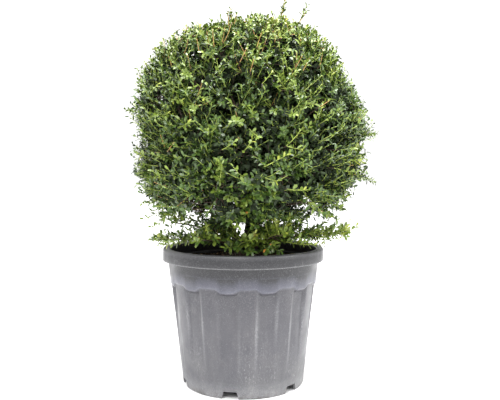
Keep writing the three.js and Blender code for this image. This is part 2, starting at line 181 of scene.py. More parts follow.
def bezier(a, b, c, steps):
    """Points on quadratic curves; a, b and c are (..., 3), and the result is (..., steps, 3)."""
    a, b, c = (np.asarray(p, float)[..., None, :] for p in (a, b, c))
    t = np.linspace(0, 1, steps)[:, None]
    return a * (1 - t) ** 2 + 2 * b * t * (1 - t) + c * t**2


def across(axis):
    """Two unit vectors at right angles to each axis and to each other."""
    axis = unit(axis)
    other = np.where(np.abs(axis[..., 2:3]) < 0.9, UP, np.array([1.0, 0.0, 0.0]))
    first = unit(np.cross(other, axis))
    return first, np.cross(axis, first)


def grid_faces(steps, count):
    """Four-cornered faces of a grid of points (steps, count) that closes on itself sideways."""
    s, i = np.meshgrid(np.arange(steps - 1), np.arange(count), indexing="ij")
    a, b = s * count + i, s * count + (i + 1) % count
    return np.stack([a, b, b + count, a + count], -1).reshape(-1, 4)


def end_faces(steps, count):
    """Faces that close such a grid's first and last ring, towards the two points that follow the grid."""
    ring = np.arange(count)
    following, last, middle = (ring + 1) % count, (steps - 1) * count, np.full(count, steps * count)
    return np.stack([following, ring, middle], -1), np.stack([last + ring, last + following, middle + 1], -1)


def for_each(faces, count, points):
    """The same faces once for each of count copies that have so many points."""
    return (faces[None] + (np.arange(count) * points)[:, None, None]).reshape(-1, 3)


class Heap:
    """Points and three-cornered faces gathered for one joined mesh."""

    def __init__(self):
        self.points = []
        self.faces = []
        self.count = 0

    def add(self, points, faces):
        points = np.asarray(points, float).reshape(-1, 3)
        self.points.append(points)
        self.faces.append(np.asarray(faces).reshape(-1, 3) + self.count)
        self.count += len(points)

    def arrays(self):
        return np.concatenate(self.points), np.concatenate(self.faces)


def add_object(name, data):
    obj = bpy.data.objects.new(name, data)
    bpy.context.scene.collection.objects.link(obj)
    return obj


def make_piece(name, points, faces, material, slot, nodes, smooth=True):
    """One mesh piece of the visual model, at the origin, in the place of the CAD nodes it stands for."""
    mesh = bpy.data.meshes.new(name)
    mesh.vertices.add(len(points))
    mesh.vertices.foreach_set("co", (np.asarray(points) * MM).astype(np.float32).ravel())
    mesh.loops.add(faces.size)
    mesh.loops.foreach_set("vertex_index", np.asarray(faces, np.int32).ravel())
    mesh.polygons.add(len(faces))
    starts = np.arange(0, faces.size, faces.shape[1], dtype=np.int32)
    mesh.polygons.foreach_set("loop_start", starts)
    mesh.polygons.foreach_set("use_smooth", np.full(len(faces), smooth))
    mesh.update(calc_edges=True)
    mesh.validate()
    mesh.materials.append(material)
    obj = add_object(name, mesh)
    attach(obj, "root")
    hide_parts(*nodes)


def tubes(lines, radii, sides):
    """Round tubes along lines (n, steps, 3) with radii (n, steps), closed to a point at the far end."""
    lines = np.asarray(lines, float)
    n, steps, _ = lines.shape
    radii = np.broadcast_to(radii, (n, steps))
    axes = unit(np.gradient(lines, axis=1))
    first, second = across(unit(lines[:, -1] - lines[:, 0]))
    first = unit(first[:, None] - axes * np.sum(first[:, None] * axes, -1, keepdims=True))
    second = np.cross(axes, first)
    turns = np.arange(sides) * 2 * np.pi / sides
    ring = first[:, :, None] * np.cos(turns)[:, None] + second[:, :, None] * np.sin(turns)[:, None]
    points = lines[:, :, None] + ring * radii[:, :, None, None]
    tips = lines[:, -1] + axes[:, -1] * radii[:, -1:]
    points = np.concatenate([points.reshape(n, -1, 3), tips[:, None]], 1)
    walls = grid_faces(steps, sides)[:, [[0, 1, 2], [0, 2, 3]]].reshape(-1, 3)
    faces = np.concatenate([walls, end_faces(steps, sides)[1] - (0, 0, 1)])
    return points.reshape(-1, 3), for_each(faces, n, points.shape[1])


# ---------------------------------------------------------------- materials


def new_material(name, color, roughness, specular=0.5):
    material = bpy.data.materials.new(name)
    material.use_nodes = True
    shader = material.node_tree.nodes["Principled BSDF"]
    shader.inputs["Base Color"].default_value = (*color, 1)
    shader.inputs["Roughness"].default_value = roughness
    shader.inputs["Specular IOR Level"].default_value = specular
    return material, material.node_tree, shader


class Nodes:
    """Short ways to add the few shader nodes that the materials use."""

    def __init__(self, tree, place="Object"):
        self.tree = tree
        self.place = self.add("ShaderNodeTexCoord").outputs[place]

    def add(self, kind, **values):
        node = self.tree.nodes.new(kind)
        for key, value in values.items():
            if key in node.inputs:
                node.inputs[key].default_value = value
            else:
                setattr(node, key, value)
        return node

    def link(self, a, b):
        self.tree.links.new(a, b)

    def split(self, vector):
        node = self.add("ShaderNodeSeparateXYZ")
        self.link(vector, node.inputs["Vector"])
        return node.outputs["X"], node.outputs["Y"], node.outputs["Z"]

    def math(self, operation, *values):
        node = self.add("ShaderNodeMath", operation=operation)
        for socket, value in zip(node.inputs, values):
            if isinstance(value, (int, float)):
                socket.default_value = value
            else:
                self.link(value, socket)
        return node.outputs["Value"]

    def span(self, value, low, high, at_low=0.0, at_high=1.0):
        """A level that goes evenly from at_low to at_high while value goes from low to high."""
        node = self.add("ShaderNodeMapRange")
        for socket, level in zip(("From Min", "From Max", "To Min", "To Max"), (low, high, at_low, at_high)):
            node.inputs[socket].default_value = level
        self.link(value, node.inputs["Value"])
        return node.outputs["Result"]

    def band(self, value, low, peak, high):
        """1 where value is at its peak, falling to 0 at low and at high."""
        return self.math("MINIMUM", self.span(value, low, peak), self.span(value, peak, high, 1.0, 0.0))

    def scaled(self, x, y, z):
        node = self.add("ShaderNodeMapping")
        node.inputs["Scale"].default_value = (x, y, z)
        self.link(self.place, node.inputs["Vector"])
        return node.outputs["Vector"]

    def noise(self, scale, detail=3.0, roughness=0.5, vector=None):
        node = self.add("ShaderNodeTexNoise", Scale=scale, Detail=detail, Roughness=roughness)
        self.link(vector or self.place, node.inputs["Vector"])
        return node.outputs["Fac"]

    def ramp(self, value, stops):
        node = self.add("ShaderNodeValToRGB")
        elements = node.color_ramp.elements
        while len(elements) < len(stops):
            elements.new(0.5)
        for element, (position, color) in zip(elements, stops):
            element.position = position
            element.color = (*color, 1)
        self.link(value, node.inputs["Fac"])
        return node.outputs["Color"]

    def greys(self, value, low, at_low, high, at_high):
        """A ramp from one grey at the value low to another at the value high."""
        return self.ramp(value, [(low, (at_low,) * 3), (high, (at_high,) * 3)])

    def blend(self, kind, factor, a, b):
        node = self.add("ShaderNodeMix", data_type="RGBA", blend_type=kind)
        sockets = [s for s in node.inputs if s.enabled]
        for socket, value in zip(sockets, (factor, a, b)):
            if isinstance(value, (int, float)):
                socket.default_value = value
            elif isinstance(value, tuple):
                socket.default_value = (*value, 1)
            else:
                self.link(value, socket)
        return next(s for s in node.outputs if s.enabled)

    def bump(self, height, strength, distance, shader):
        node = self.add("ShaderNodeBump", Strength=strength, Distance=distance)
        self.link(height, node.inputs["Height"])
        self.link(node.outputs["Normal"], shader.inputs["Normal"])


def leaf_material(name, color, roughness=0.36, specular=0.52):
    """Glossy leaf: its own plain colour, a little lighter and darker from leaf to leaf, and finely veined."""
    material, tree, shader = new_material(name, color, roughness, specular)
    n = Nodes(tree)
    shade = n.ramp(n.noise(38.0, 2.0), [(0.3, (0.72, 0.74, 0.7)), (0.7, (1.25, 1.22, 1.2))])
    n.link(n.blend("MULTIPLY", 1.0, color, shade), shader.inputs["Base Color"])
    n.bump(n.noise(420.0, 2.0), 0.25, 0.0006, shader)
    return material


def bark_material(name, dark, light):
    material, tree, shader = new_material(name, dark, 0.85, 0.25)
    n = Nodes(tree)
    ridges = n.noise(260.0, 5.0, 0.62, n.scaled(1, 1, 0.22))
    lichen = n.noise(60.0, 3.0)
    color = n.ramp(ridges, [(0.32, tuple(0.45 * c for c in dark)), (0.5, dark), (0.72, light)])
    pale = n.greys(lichen, 0.55, 0, 0.72, 1)
    n.link(n.blend("MIX", pale, color, tuple(0.5 * c + 0.12 for c in light)), shader.inputs["Base Color"])
    n.bump(ridges, 0.8, 0.0015, shader)
    return material


# how much lower the collar's foot runs over a flute, and where that ends and how wide its side is, in degrees
SCALLOP_DROP = 9
SCALLOP_END = 9.0
SCALLOP_SIDE = 4.4

# the pot's colour at shares of its height: dusty foot, wall, bloomed collar, shade under the skirt, rim
POT_COLORS = [
    (0.0, (0.125, 0.124, 0.128)),
    (0.06, (0.090, 0.090, 0.096)),
    (0.35, (0.058, 0.057, 0.065)),
    (0.755, (0.041, 0.040, 0.047)),
    (0.775, (0.067, 0.068, 0.089)),
    (0.81, (0.042, 0.043, 0.057)),
    (0.855, (0.008, 0.008, 0.011)),
    (0.965, (0.010, 0.010, 0.012)),
    (0.988, (0.038, 0.038, 0.041)),
]


def pot_material():
    """Weathered grey plastic: dark at the rim with painted shade under its skirt, dusty towards the foot, and pale
    along its ribs and edges, partly as scuffs and partly as painted highlights.
    """
    material, tree, shader = new_material("pot_plastic", (0.08, 0.08, 0.087), 0.4, 0.5)
    n = Nodes(tree)
    x, y, z = n.split(n.place)
    height = n.math("MULTIPLY", z, 1 / (POT_HEIGHT * MM))

    # how far round the wall a point is from the middle of the nearest flute, in degrees
    turn = n.math("ARCTAN2", x, n.math("MULTIPLY", y, -1.0))
    from_flute = n.math("SUBTRACT", turn, FLUTE_TURN)
    off = n.math("MULTIPLY", n.math("PINGPONG", from_flute, np.pi / FLUTES), 180 / np.pi)
    over_flute = n.span(off, SCALLOP_END, SCALLOP_END - SCALLOP_SIDE, 0.0, SCALLOP_DROP / POT_HEIGHT)

    # the colour by height, which follows the scalloped line under the rim's shade
    wander = n.math("MULTIPLY", n.math("SUBTRACT", n.noise(120.0, 3.0, 0.6), 0.5), 0.012)
    dip = n.math("MULTIPLY", over_flute, n.math("LESS_THAN", height, 0.84))
    level = n.math("ADD", n.math("ADD", height, dip), wander)
    base = n.ramp(level, POT_COLORS)
    clouds = n.ramp(n.noise(9.0, 4.0, 0.6), [(0.3, (0.80, 0.80, 0.85)), (0.7, (1.19, 1.18, 1.15))])
    streaks = n.noise(46.0, 4.0, 0.65, n.scaled(1, 1, 0.22))
    stains = n.ramp(streaks, [(0.3, (0.80, 0.80, 0.83)), (0.7, (1.18, 1.18, 1.15))])
    color = n.blend("MULTIPLY", 1.0, n.blend("MULTIPLY", 1.0, base, stains), clouds)

    # pale marks: wear with a painted highlight on the ribs beside the flutes, wear along the collar's edge, a painted
    # highlight along the skirt's edge, and dust at the foot
    rough_edge = n.math("MULTIPLY", n.math("SUBTRACT", n.noise(190.0, 3.0, 0.7), 0.5), 3.2)
    # the pale band on the ribs beside the flutes is partly wear and partly a painted highlight on their edges
    rib = n.band(n.math("ADD", off, rough_edge), 6.2, 8.3, 9.9)
    in_flutes = n.band(height, 0.12, 0.5, 0.77)
    ragged = n.greys(n.noise(420.0, 3.0, 0.7), 0.38, 0.25, 0.62, 1)
    rib_patches = n.greys(n.noise(11.0, 2.0, 0.5, n.scaled(1, 1, 0.3)), 0.44, 0.06, 0.6, 0.46)
    ribs = n.math("MULTIPLY", n.math("MULTIPLY", rib, in_flutes), rib_patches)
    collar_line = n.math("MULTIPLY", n.band(level, 0.755, 0.769, 0.783), 0.11)
    # a painted highlight along the skirt's lower edge
    skirt_edge_highlight = n.math("MULTIPLY", n.band(height, 0.905, 0.913, 0.922), 0.45)
    dust_level = n.math("ADD", height, n.math("MULTIPLY", wander, 6.0))
    foot_dust = n.math("MULTIPLY", n.band(dust_level, -1.0, 0.0, 0.12), 0.5)
    marks = n.math("MAXIMUM", ribs, collar_line)
    marks = n.math("MAXIMUM", marks, n.math("MAXIMUM", skirt_edge_highlight, foot_dust))
    marks = n.math("MULTIPLY", marks, ragged)
    color = n.blend("MIX", marks, color, (0.36, 0.36, 0.37))

    # specks all over; fine hairs in places; scuffs low on the wall and flakes at the tops of the flutes
    specks = n.greys(n.noise(700.0, 2.0, 0.7), 0.58, 0, 0.72, 0.36)
    color = n.blend("MIX", specks, color, (0.30, 0.30, 0.31))
    thin = n.noise(85.0, 1.0, 0.5, n.scaled(1, 1, 0.5))
    hairs = n.ramp(thin, [(0.49, (0, 0, 0)), (0.5, (0.22, 0.22, 0.22)), (0.51, (0, 0, 0))])
    hairs = n.math("MULTIPLY", hairs, n.greys(n.noise(16.0, 2.0), 0.5, 0, 0.62, 1))
    scuffs = n.greys(n.noise(330.0, 4.0, 0.75, n.scaled(1, 1, 0.4)), 0.55, 0, 0.66, 0.6)
    scuffed = n.greys(n.noise(14.0, 2.0, 0.5, n.scaled(1, 1, 0.5)), 0.48, 0.05, 0.64, 1)
    scuffs = n.math("MULTIPLY", n.math("MULTIPLY", scuffs, scuffed), n.band(height, -0.3, 0.12, 0.5))
    flaked = n.math("MULTIPLY", n.band(height, 0.5, 0.72, 0.78), n.math("MULTIPLY", specks, 0.8))
    scratches = n.math("MAXIMUM", hairs, n.math("MAXIMUM", scuffs, flaked))
    color = n.blend("MIX", scratches, color, (0.36, 0.36, 0.36))

    grime = n.greys(n.noise(70.0, 4.0, 0.7), 0.46, 0.1, 0.6, 0.75)
    grime = n.math("MULTIPLY", grime, n.band(n.math("ADD", height, wander), -0.2, 0.0, 0.05))
    n.link(n.blend("MIX", grime, color, (0.045, 0.038, 0.030)), shader.inputs["Base Color"])
    n.link(n.greys(n.noise(30.0, 3.0), 0.3, 0.30, 0.7, 0.48), shader.inputs["Roughness"])
    n.bump(n.noise(900.0, 2.0), 0.12, 0.0004, shader)
    return material


def soil_material():
    material, tree, shader = new_material("compost", (0.02, 0.013, 0.009), 0.95, 0.2)
    n = Nodes(tree)
    crumbs = n.noise(190.0, 5.0, 0.7)
    color = n.ramp(crumbs, [(0.3, (0.008, 0.006, 0.004)), (0.52, (0.034, 0.022, 0.014)), (0.7, (0.14, 0.09, 0.05))])
    n.link(color, shader.inputs["Base Color"])
    n.bump(crumbs, 0.9, 0.004, shader)
    return material


# leaf colours; deep, the darkest, is mostly painted shade: the inner shoots' leaves and those of shoots that end
# further in
LEAF_COLORS = {
    "deep": (0.017, 0.027, 0.011),
    "dark": (0.032, 0.060, 0.013),
    "mid": (0.058, 0.107, 0.017),
    "fresh": (0.146, 0.210, 0.031),
    "lime": (0.290, 0.335, 0.054),
    "straw": (0.52, 0.22, 0.035),
}
DULL = {"deep": (0.6, 0.2)}  # roughness and specular level of the darkest leaves, mostly the inner ones, painted dark as the shade inside the ball
leaf_heaps = {name: [] for name in LEAF_COLORS}
wood_heap, twig_heap, green_heap, tan_heap = Heap(), Heap(), Heap(), Heap()

# ---------------------------------------------------------------- container

# depth of half a flute at angles from its centre: flat, then a sloping side with rounded edges
FLUTE_SIDE = [
    (2, 1), (4, 1), (5.4, 1), (5.8, 0.95), (6.2, 0.86), (8.1, 0.14),
    (8.5, 0.05), (8.9, 0), (9.6, 0), (11, 0), (13.2, 0),
]  # fmt: skip
FLUTE_PROFILE = [(-angle, depth) for angle, depth in FLUTE_SIDE[::-1]] + [(0, 1)] + FLUTE_SIDE + [(15, 0)]
angles, depths = np.transpose(FLUTE_PROFILE)
wall_turns = np.radians(np.concatenate([360 / FLUTES * f + angles for f in range(FLUTES)])) + FLUTE_TURN
wall_sunk = np.tile(depths, FLUTES)
wall_scallop = np.tile(np.clip((SCALLOP_END - np.abs(angles)) / SCALLOP_SIDE, 0, 1), FLUTES)


def body_radius(z):
    return mix(FOOT_RADIUS, BODY_RADIUS, z / (COLLAR_FOOT_Z - WALL))


def collar_radius(z):
    top = POT_HEIGHT - RIM_THICK
    return mix(COLLAR_FOOT_RADIUS, COLLAR_RADIUS, (z - COLLAR_FOOT_Z) / (top - COLLAR_FOOT_Z))


def rounded(profile, size):
    """A profile of (radius, z, fluted) with each corner cut to three points on a small arc."""
    profile = np.array(profile, float)
    out = [profile[0]]
    for before, corner, after in zip(profile, profile[1:], profile[2:]):
        ends = []
        for side in (before - corner, after - corner):
            length = np.linalg.norm(side[:2])
            ends.append(corner + side * min(size, 0.4 * length) / max(length, 1e-6))
        out += [ends[0], 0.25 * ends[0] + 0.5 * corner + 0.25 * ends[1], ends[1]]
    out.append(profile[-1])
    return np.array(out)


def container_arrays():
    skirt = POT_HEIGHT - RIM_SKIRT
    top = POT_HEIGHT - RIM_THICK
    outside = [(body_radius(z), z, 0) for z in (WALL, 20, FLUTE_FOOT_Z)]
    outside += [(body_radius(z), z, (z - FLUTE_FOOT_Z) / (FLUTE_TOP_Z - FLUTE_FOOT_Z)) for z in range(69, 258, 21)]
    inside = [(COLLAR_FOOT_RADIUS - WALL, COLLAR_FOOT_Z, 0), (body_radius(FLUTE_TOP_Z) - WALL, FLUTE_TOP_Z, 1)]
    inside += [(body_radius(FLUTE_FOOT_Z) - WALL, FLUTE_FOOT_Z, 0)]
    profile = [
        (MIDDLE_FOOT_RADIUS * 0.5, 0, 0),
        (MIDDLE_FOOT_RADIUS, 0, 0),
        (MIDDLE_FOOT_RADIUS - WALL, FLOOR_UNDERSIDE, 0),
        (FOOT_RADIUS - 2 * WALL, FLOOR_UNDERSIDE, 0),
        (FOOT_RADIUS - 2 * WALL, 0, 0),
        (FOOT_RADIUS - WALL / 2, 0, 0),
        *outside,
        (body_radius(FLUTE_TOP_Z), FLUTE_TOP_Z, 1),
        (BODY_RADIUS, COLLAR_FOOT_Z - WALL, 0),
        (COLLAR_FOOT_RADIUS, COLLAR_FOOT_Z, 0),
        (collar_radius(300), 300, 0),
        (COLLAR_RADIUS, top, 0),
        (RIM_RADIUS - WALL - 1, top, 0),
        (RIM_RADIUS - WALL, skirt, 0),
        (RIM_RADIUS, skirt, 0),
        (RIM_RADIUS - 0.5, skirt + 15, 0),
        (RIM_RADIUS - 1, POT_HEIGHT - EDGE, 0),
        (RIM_RADIUS - EDGE, POT_HEIGHT, 0),
        (MOUTH_RADIUS + EDGE, POT_HEIGHT, 0),
        (MOUTH_RADIUS, POT_HEIGHT - EDGE, 0),
        (collar_radius(SOIL_TOP + 4) - WALL, SOIL_TOP + 4, 0),
        *inside,
        (body_radius(FLOOR_UNDERSIDE + WALL) - WALL, FLOOR_UNDERSIDE + WALL, 0),
        (MIDDLE_FOOT_RADIUS * 0.5, FLOOR_UNDERSIDE + WALL, 0),
    ]
    profile = rounded(profile, 1.1)
    radii = profile[:, 0, None] - FLUTE_DEPTH * profile[:, 2, None] * wall_sunk
    around = heading(wall_turns)[None] * radii[..., None]
    heights = [180, FLUTE_TOP_Z, COLLAR_FOOT_Z - WALL, COLLAR_FOOT_Z + 1, 300]
    drop = np.interp(profile[:, 1], heights, [0, 0.45, 1, 1, 0])
    drop[len(profile) // 2 + 8 :] = 0
    around[..., 2] = profile[:, 1, None] - SCALLOP_DROP * drop[:, None] * wall_scallop
    points = np.concatenate([around.reshape(-1, 3), [[0, 0, 0], [0, 0, FLOOR_UNDERSIDE + WALL]]])
    return points, (grid_faces(*radii.shape), *end_faces(*radii.shape))


def cutter(name, outline, depth, place, turn):
    """A straight-sided block used once to cut the container, from an outline in millimetres."""
    made = bmesh.new()
    near = [made.verts.new(Vector(p)) for p in outline]
    far = [made.verts.new(Vector(p) + Vector(depth)) for p in outline]
    made.faces.new(near[::-1])
    made.faces.new(far)
    for i in range(len(outline)):
        j = (i + 1) % len(outline)
        made.faces.new((near[i], near[j], far[j], far[i]))
    bmesh.ops.recalc_face_normals(made, faces=made.faces)
    mesh = bpy.data.meshes.new(name)
    made.to_mesh(mesh)
    made.free()
    c, s = np.cos(turn), np.sin(turn)
    for v in mesh.vertices:
        x, y, z = v.co.x + place[0], v.co.y + place[1], v.co.z + place[2]
        v.co = Vector((c * x - s * y, s * x + c * y, z)) * MM
    return add_object(name, mesh)


def make_container():
    points, parts = container_arrays()
    mesh = bpy.data.meshes.new("container_shell")
    mesh.from_pydata((points * MM).tolist(), [], [tuple(face) for faces in parts for face in faces])
    mesh.update()
    obj = add_object("container_shell", mesh)
    half = NOTCH_WIDTH / 2
    outline = [(-half, 0, -1), (half, 0, -1), (half * 0.82, 0, NOTCH_HEIGHT - 3), (half * 0.74, 0, NOTCH_HEIGHT),
               (-half * 0.74, 0, NOTCH_HEIGHT), (-half * 0.82, 0, NOTCH_HEIGHT - 3)]  # fmt: skip
    ring = [(DRAIN_RADIUS * np.cos(t), DRAIN_RADIUS * np.sin(t), 0) for t in np.linspace(0, 2 * np.pi, 25)[:-1]]
    cutters = []
    for flute in range(0, FLUTES, 2):
        turn = FLUTE_TURN + flute * 2 * np.pi / FLUTES
        cutters.append(cutter(f"notch_{flute}", outline, (0, -30, 0), (0, 20 - FOOT_RADIUS, 0), turn))
        cutters.append(cutter(f"drain_{flute}", ring, (0, 0, 12), (0, -DRAIN_CIRCLE, 15), turn))
    for tool in cutters:
        cut = obj.modifiers.new(tool.name, "BOOLEAN")
        cut.operation = "DIFFERENCE"
        cut.solver = "MANIFOLD"
        cut.object = tool
    depsgraph = bpy.context.evaluated_depsgraph_get()
    done = bpy.data.meshes.new_from_object(obj.evaluated_get(depsgraph))
    obj.modifiers.clear()
    obj.data = done
    for tool in cutters:
        bpy.data.objects.remove(tool)
    done.polygons.foreach_set("use_smooth", np.full(len(done.polygons), True))
    done.set_sharp_from_angle(angle=np.radians(42))
    done.materials.clear()
    done.materials.append(pot_material())
    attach(obj, "root")
    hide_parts("container")


# ---------------------------------------------------------------- soil


SOIL_SIDES = 180
SOIL_CRUMBS = 2600
CHIP_EVERY = 9  # each ninth crumb is a chip of bark


def soil_level(x, y):
    """Height of the soil's surface: level by the trunk, and a little uneven towards the wall."""
    r = np.hypot(x, y)
    waves = np.sin(x * 0.045 + 1) * np.cos(y * 0.052) + 0.6 * np.sin(x * 0.11 + y * 0.09)
    return SOIL_TOP - 2.5 + 1.6 * waves * share_past(r, 40, 60)


def make_soil():
    wide = collar_radius(SOIL_TOP) - WALL - 0.6
    radii = np.concatenate([np.linspace(1, wide - 3, 60), [wide]])
    # down the wall's inside, as radius and height, to the flat underside
    down = np.array([(wide - 1, 300), (186, 275), (173, 262), (170, 250), (152, 40), (150, 24)])
    turns = np.arange(SOIL_SIDES) * 2 * np.pi / SOIL_SIDES
    grid = np.empty((len(radii) + len(down), SOIL_SIDES, 3))
    rings = np.concatenate([radii, down[:, 0]])[:, None]
    grid[..., 0], grid[..., 1] = rings * np.cos(turns), rings * np.sin(turns)
    top = grid[: len(radii)]
    grain = 1.3 * (chance(5, np.arange(top[..., 0].size)).reshape(top.shape[:2]) - 0.5)
    top[..., 2] = soil_level(top[..., 0], top[..., 1]) + grain
    grid[len(radii) :, :, 2] = down[:, 1:]
    faces = grid_faces(*grid.shape[:2])[:, [0, 3, 2, 1]]
    make_piece("soil_bed", grid.reshape(-1, 3), faces, soil_material(), "soil", ["soil"])

    crumbs, chips = Heap(), Heap()
    number = np.arange(SOIL_CRUMBS)
    r = (wide - 2) * np.sqrt(chance(6, number))
    turn = 2 * np.pi * chance(7, number)
    x, y = r * np.cos(turn), r * np.sin(turn)
    size = 1.2 + 3.6 * chance(8, number) ** 3
    corners = np.array([(1, 0, 0), (-1, 0, 0), (0, 1, 0), (0, -1, 0), (0, 0, 1), (0, 0, -1)], float)
    shape = [(0, 2, 4), (2, 1, 4), (1, 3, 4), (3, 0, 4), (2, 0, 5), (1, 2, 5), (3, 1, 5), (0, 3, 5)]
    for k in number[np.hypot(x - 4, y) >= TRUNK_RADIUS + 8]:
        is_chip = k % CHIP_EVERY == 0
        long = 2.6 if is_chip else 1.0
        turned = 6.28 * chance(9, k)
        c, s = np.cos(turned), np.sin(turned)
        p = corners * (size[k] * long, size[k] * (0.6 + 0.5 * chance(10, k)), size[k] * 0.6 / long**0.5)
        p = p @ np.array([(c, s, 0), (-s, c, 0), (0, 0, 1)])
        p += (x[k], y[k], soil_level(x[k], y[k]) + 0.35 * size[k])
        (chips if is_chip else crumbs).add(p, shape)
    make_piece("soil_crumbs", *crumbs.arrays(), soil_material(), "soil", ["soil"], smooth=False)
    chip, tree, shader = new_material("bark_chip", (0.13, 0.075, 0.035), 0.85, 0.3)
    n = Nodes(tree)
    n.link(n.ramp(n.noise(90.0), [(0.3, (0.10, 0.06, 0.03)), (0.7, (0.34, 0.23, 0.12))]), shader.inputs["Base Color"])
    make_piece("soil_chips", *chips.arrays(), chip, "soil", ["soil"], smooth=False)


# ---------------------------------------------------------------- trunk and boughs


def bark_tube(line, radii, sides, relief, seed):
    """A limb with ridged bark, closed at both ends; line is (n, 3)."""
    line = np.asarray(line, float)
    axes = unit(np.gradient(line, axis=0))
    first, second = across(axes)
    turns = np.arange(sides) * 2 * np.pi / sides
    ring = first[:, None] * np.cos(turns)[:, None] + second[:, None] * np.sin(turns)[:, None]
    along = np.cumsum(np.r_[0, np.linalg.norm(np.diff(line, axis=0), axis=1)])[:, None]
    ridges = np.sin(7 * turns + 0.13 * along + seed) + 0.7 * np.sin(12 * turns - 0.21 * along + 2 * seed)
    rough = 0.5 * chance(seed, np.arange(len(line) * sides)).reshape(len(line), sides)
    lumps = np.sin(3 * turns + 0.06 * along + 3 * seed) + rough
    radius = np.asarray(radii)[:, None] * (1 + relief * (0.5 * ridges + 0.6 * lumps))
    points = (line[:, None] + ring * radius[..., None]).reshape(-1, 3)
    quads = grid_faces(len(line), sides)
    faces = [quads[:, [0, 1, 2]], quads[:, [0, 2, 3]], *end_faces(len(line), sides)]
    return np.concatenate([points, line[:1], line[-1:]]), np.concatenate(faces)


def make_trunk():
    along = np.linspace(0, 1, 34)
    foot = np.array([TRUNK_X - TRUNK_LEAN, 0, SOIL_TOP + 0.3])
    fork = np.array([TRUNK_X, 0, FORK_Z + 6])
    line = foot + (fork - foot) * along[:, None]
    radii = TRUNK_RADIUS - TRUNK_TAPER * along + TRUNK_FLARE * (1 - along) ** 5
    radii = radii * np.sqrt(np.clip(1 - ((along - 0.82) / 0.19) ** 2 * (along > 0.82), 0.12, 1))
    wood_heap.add(*bark_tube(line, radii, 40, 0.055, 1.0))


def side_bough_lines():
    """The leader's line and the side boughs' lines, from the fork up, as in the part's source."""
    fork = np.array([TRUNK_X, 0, FORK_Z - 12.0])
    knee = (TRUNK_X + 3, 2, FORK_Z + 24)
    lines = [(bezier(fork, knee, (CROWN[0], 0, CROWN_STEM_Z), 12), LEADER_RADIUS)]
    for i in range(SIDE_BOUGHS):
        out = heading(SIDE_BOUGH_TURN + i * 2 * np.pi / SIDE_BOUGHS)
        spread = SIDE_BOUGH_SPREAD * (1 + 0.27 * chance(11, i))
        a = fork + out * TRUNK_RADIUS * 0.6
        b = fork + out * spread * 0.62
        c = fork + out * spread
        b[2], c[2] = FORK_Z + 34, FORK_Z + 140
        lines.append((bezier(a, b, c, 14), SIDE_BOUGH_RADIUS))
    return lines


# ---------------------------------------------------------------- foliage


def crown_reach(out):
    """Distance from the crown's centre to its clipped face along unit vectors."""
    above = out[..., 2] > 0
    half = np.where(above, CROWN_RISE, CROWN_DROP)
    square = np.where(above, CROWN_SQUARE, CROWN_UNDER_SQUARE)
    flat = np.hypot(out[..., 0], out[..., 1]) / CROWN_RADIUS
    face = (flat**square + (np.abs(out[..., 2]) / half) ** square) ** (-1 / square)
    turn = np.arctan2(out[..., 1], out[..., 0])
    lean = 2 * np.cos(turn) * np.cos(5 * out[..., 2] + 0.6)
    lumps = lean + np.sin(3 * turn) * np.cos(7 * out[..., 2] + 2)
    return face * (1 + CROWN_LUMPS * lumps)


def in_crown(out, share, extra=0.0):
    """Points along unit vectors at a share of the way to the clipped face, and so much further."""
    return CROWN + out * (crown_reach(out) * share + extra)[:, None]


def spiral_tips(count, seed):
    """Unit vectors of tips spread evenly round the ball by the golden angle."""
    i = np.arange(count)
    rise = 1 - (2 * (i + 0.2 + 0.6 * chance(seed, i))) / count
    turn = CROWN_TWIG_TURN + i * GOLDEN_ANGLE + 0.3 * (chance(seed + 1, i) - 0.5)
    flat = np.sqrt(1 - rise**2)
    return np.stack([np.cos(turn) * flat, np.sin(turn) * flat, rise], -1)


def image_place(points):
    """Where the photograph's camera sees points: across and down its frame, in pixels."""
    p = np.asarray(points) * MM - np.array(CAMERA_PLACE)
    c, s = np.cos(CAMERA_PITCH), np.sin(CAMERA_PITCH)
    depth = p[..., 1] * c - p[..., 2] * s
    up = p[..., 1] * s + p[..., 2] * c
    return IMAGE_WIDTH / 2 + FOCAL_PIXELS * p[..., 0] / depth, IMAGE_HEIGHT / 2 - FOCAL_PIXELS * up / depth


# open places in the ball as the photograph's camera sees them: across, down, half width, half height, share kept
OPEN_PLACES = [
    (178, 219, 22, 14, 0.15),
    (188, 203, 9, 6, 0.25),
    (206, 214, 9, 8, 0.15),
    (221, 212, 5, 4, 0.2),
    (240, 226, 8, 12, 0.0),
    (306, 203, 9, 13, 0.35),
    (318, 199, 9, 8, 0.5),
    (331, 222, 9, 13, 0.55),
]


def kept(points, seed, least=0.0):
    """Which of these twig ends stay, once the open places are thinned out to no less than a share."""
    x, y = image_place(points)
    stay = np.ones(len(points), bool)
    luck = chance(seed, np.arange(len(points)))
    for cx, cy, rx, ry, share in OPEN_PLACES:
        inside = ((x - cx) / rx) ** 2 + ((y - cy) / ry) ** 2 < 1
        stay &= ~inside | (luck < (max(share, least) if share else 0))
    return stay


def nearest(tips, samples):
    """For each tip, the number of the sample it springs from: near it, and rather below than above."""
    chosen = np.empty(len(tips), int)
    for start in range(0, len(tips), 400):
        gap = tips[start : start + 400, None] - samples[None]
        cost = np.linalg.norm(gap, axis=-1) + 0.6 * np.maximum(0, -gap[..., 2])
        chosen[start : start + 400] = cost.argmin(1)
    return chosen


def grow_twigs(tips, samples, sample_radii, radius_end, steps, sides, lift=0.18):
    """Curved twigs from the nearest sample points of the level before to each tip; gives their lines and radii."""
    from_ = nearest(tips, samples)
    a = samples[from_]
    span = tips - a
    middle = a + 0.5 * span + UP * lift * np.linalg.norm(span, axis=-1, keepdims=True)
    lines = bezier(a, middle, tips, steps)
    start = np.minimum(sample_radii[from_] * 0.8, radius_end * 2.2)
    radii = mix(start[:, None], radius_end, np.linspace(0, 1, steps)[None] ** 0.8)
    twig_heap.add(*tubes(lines, radii, sides))
    return lines, radii


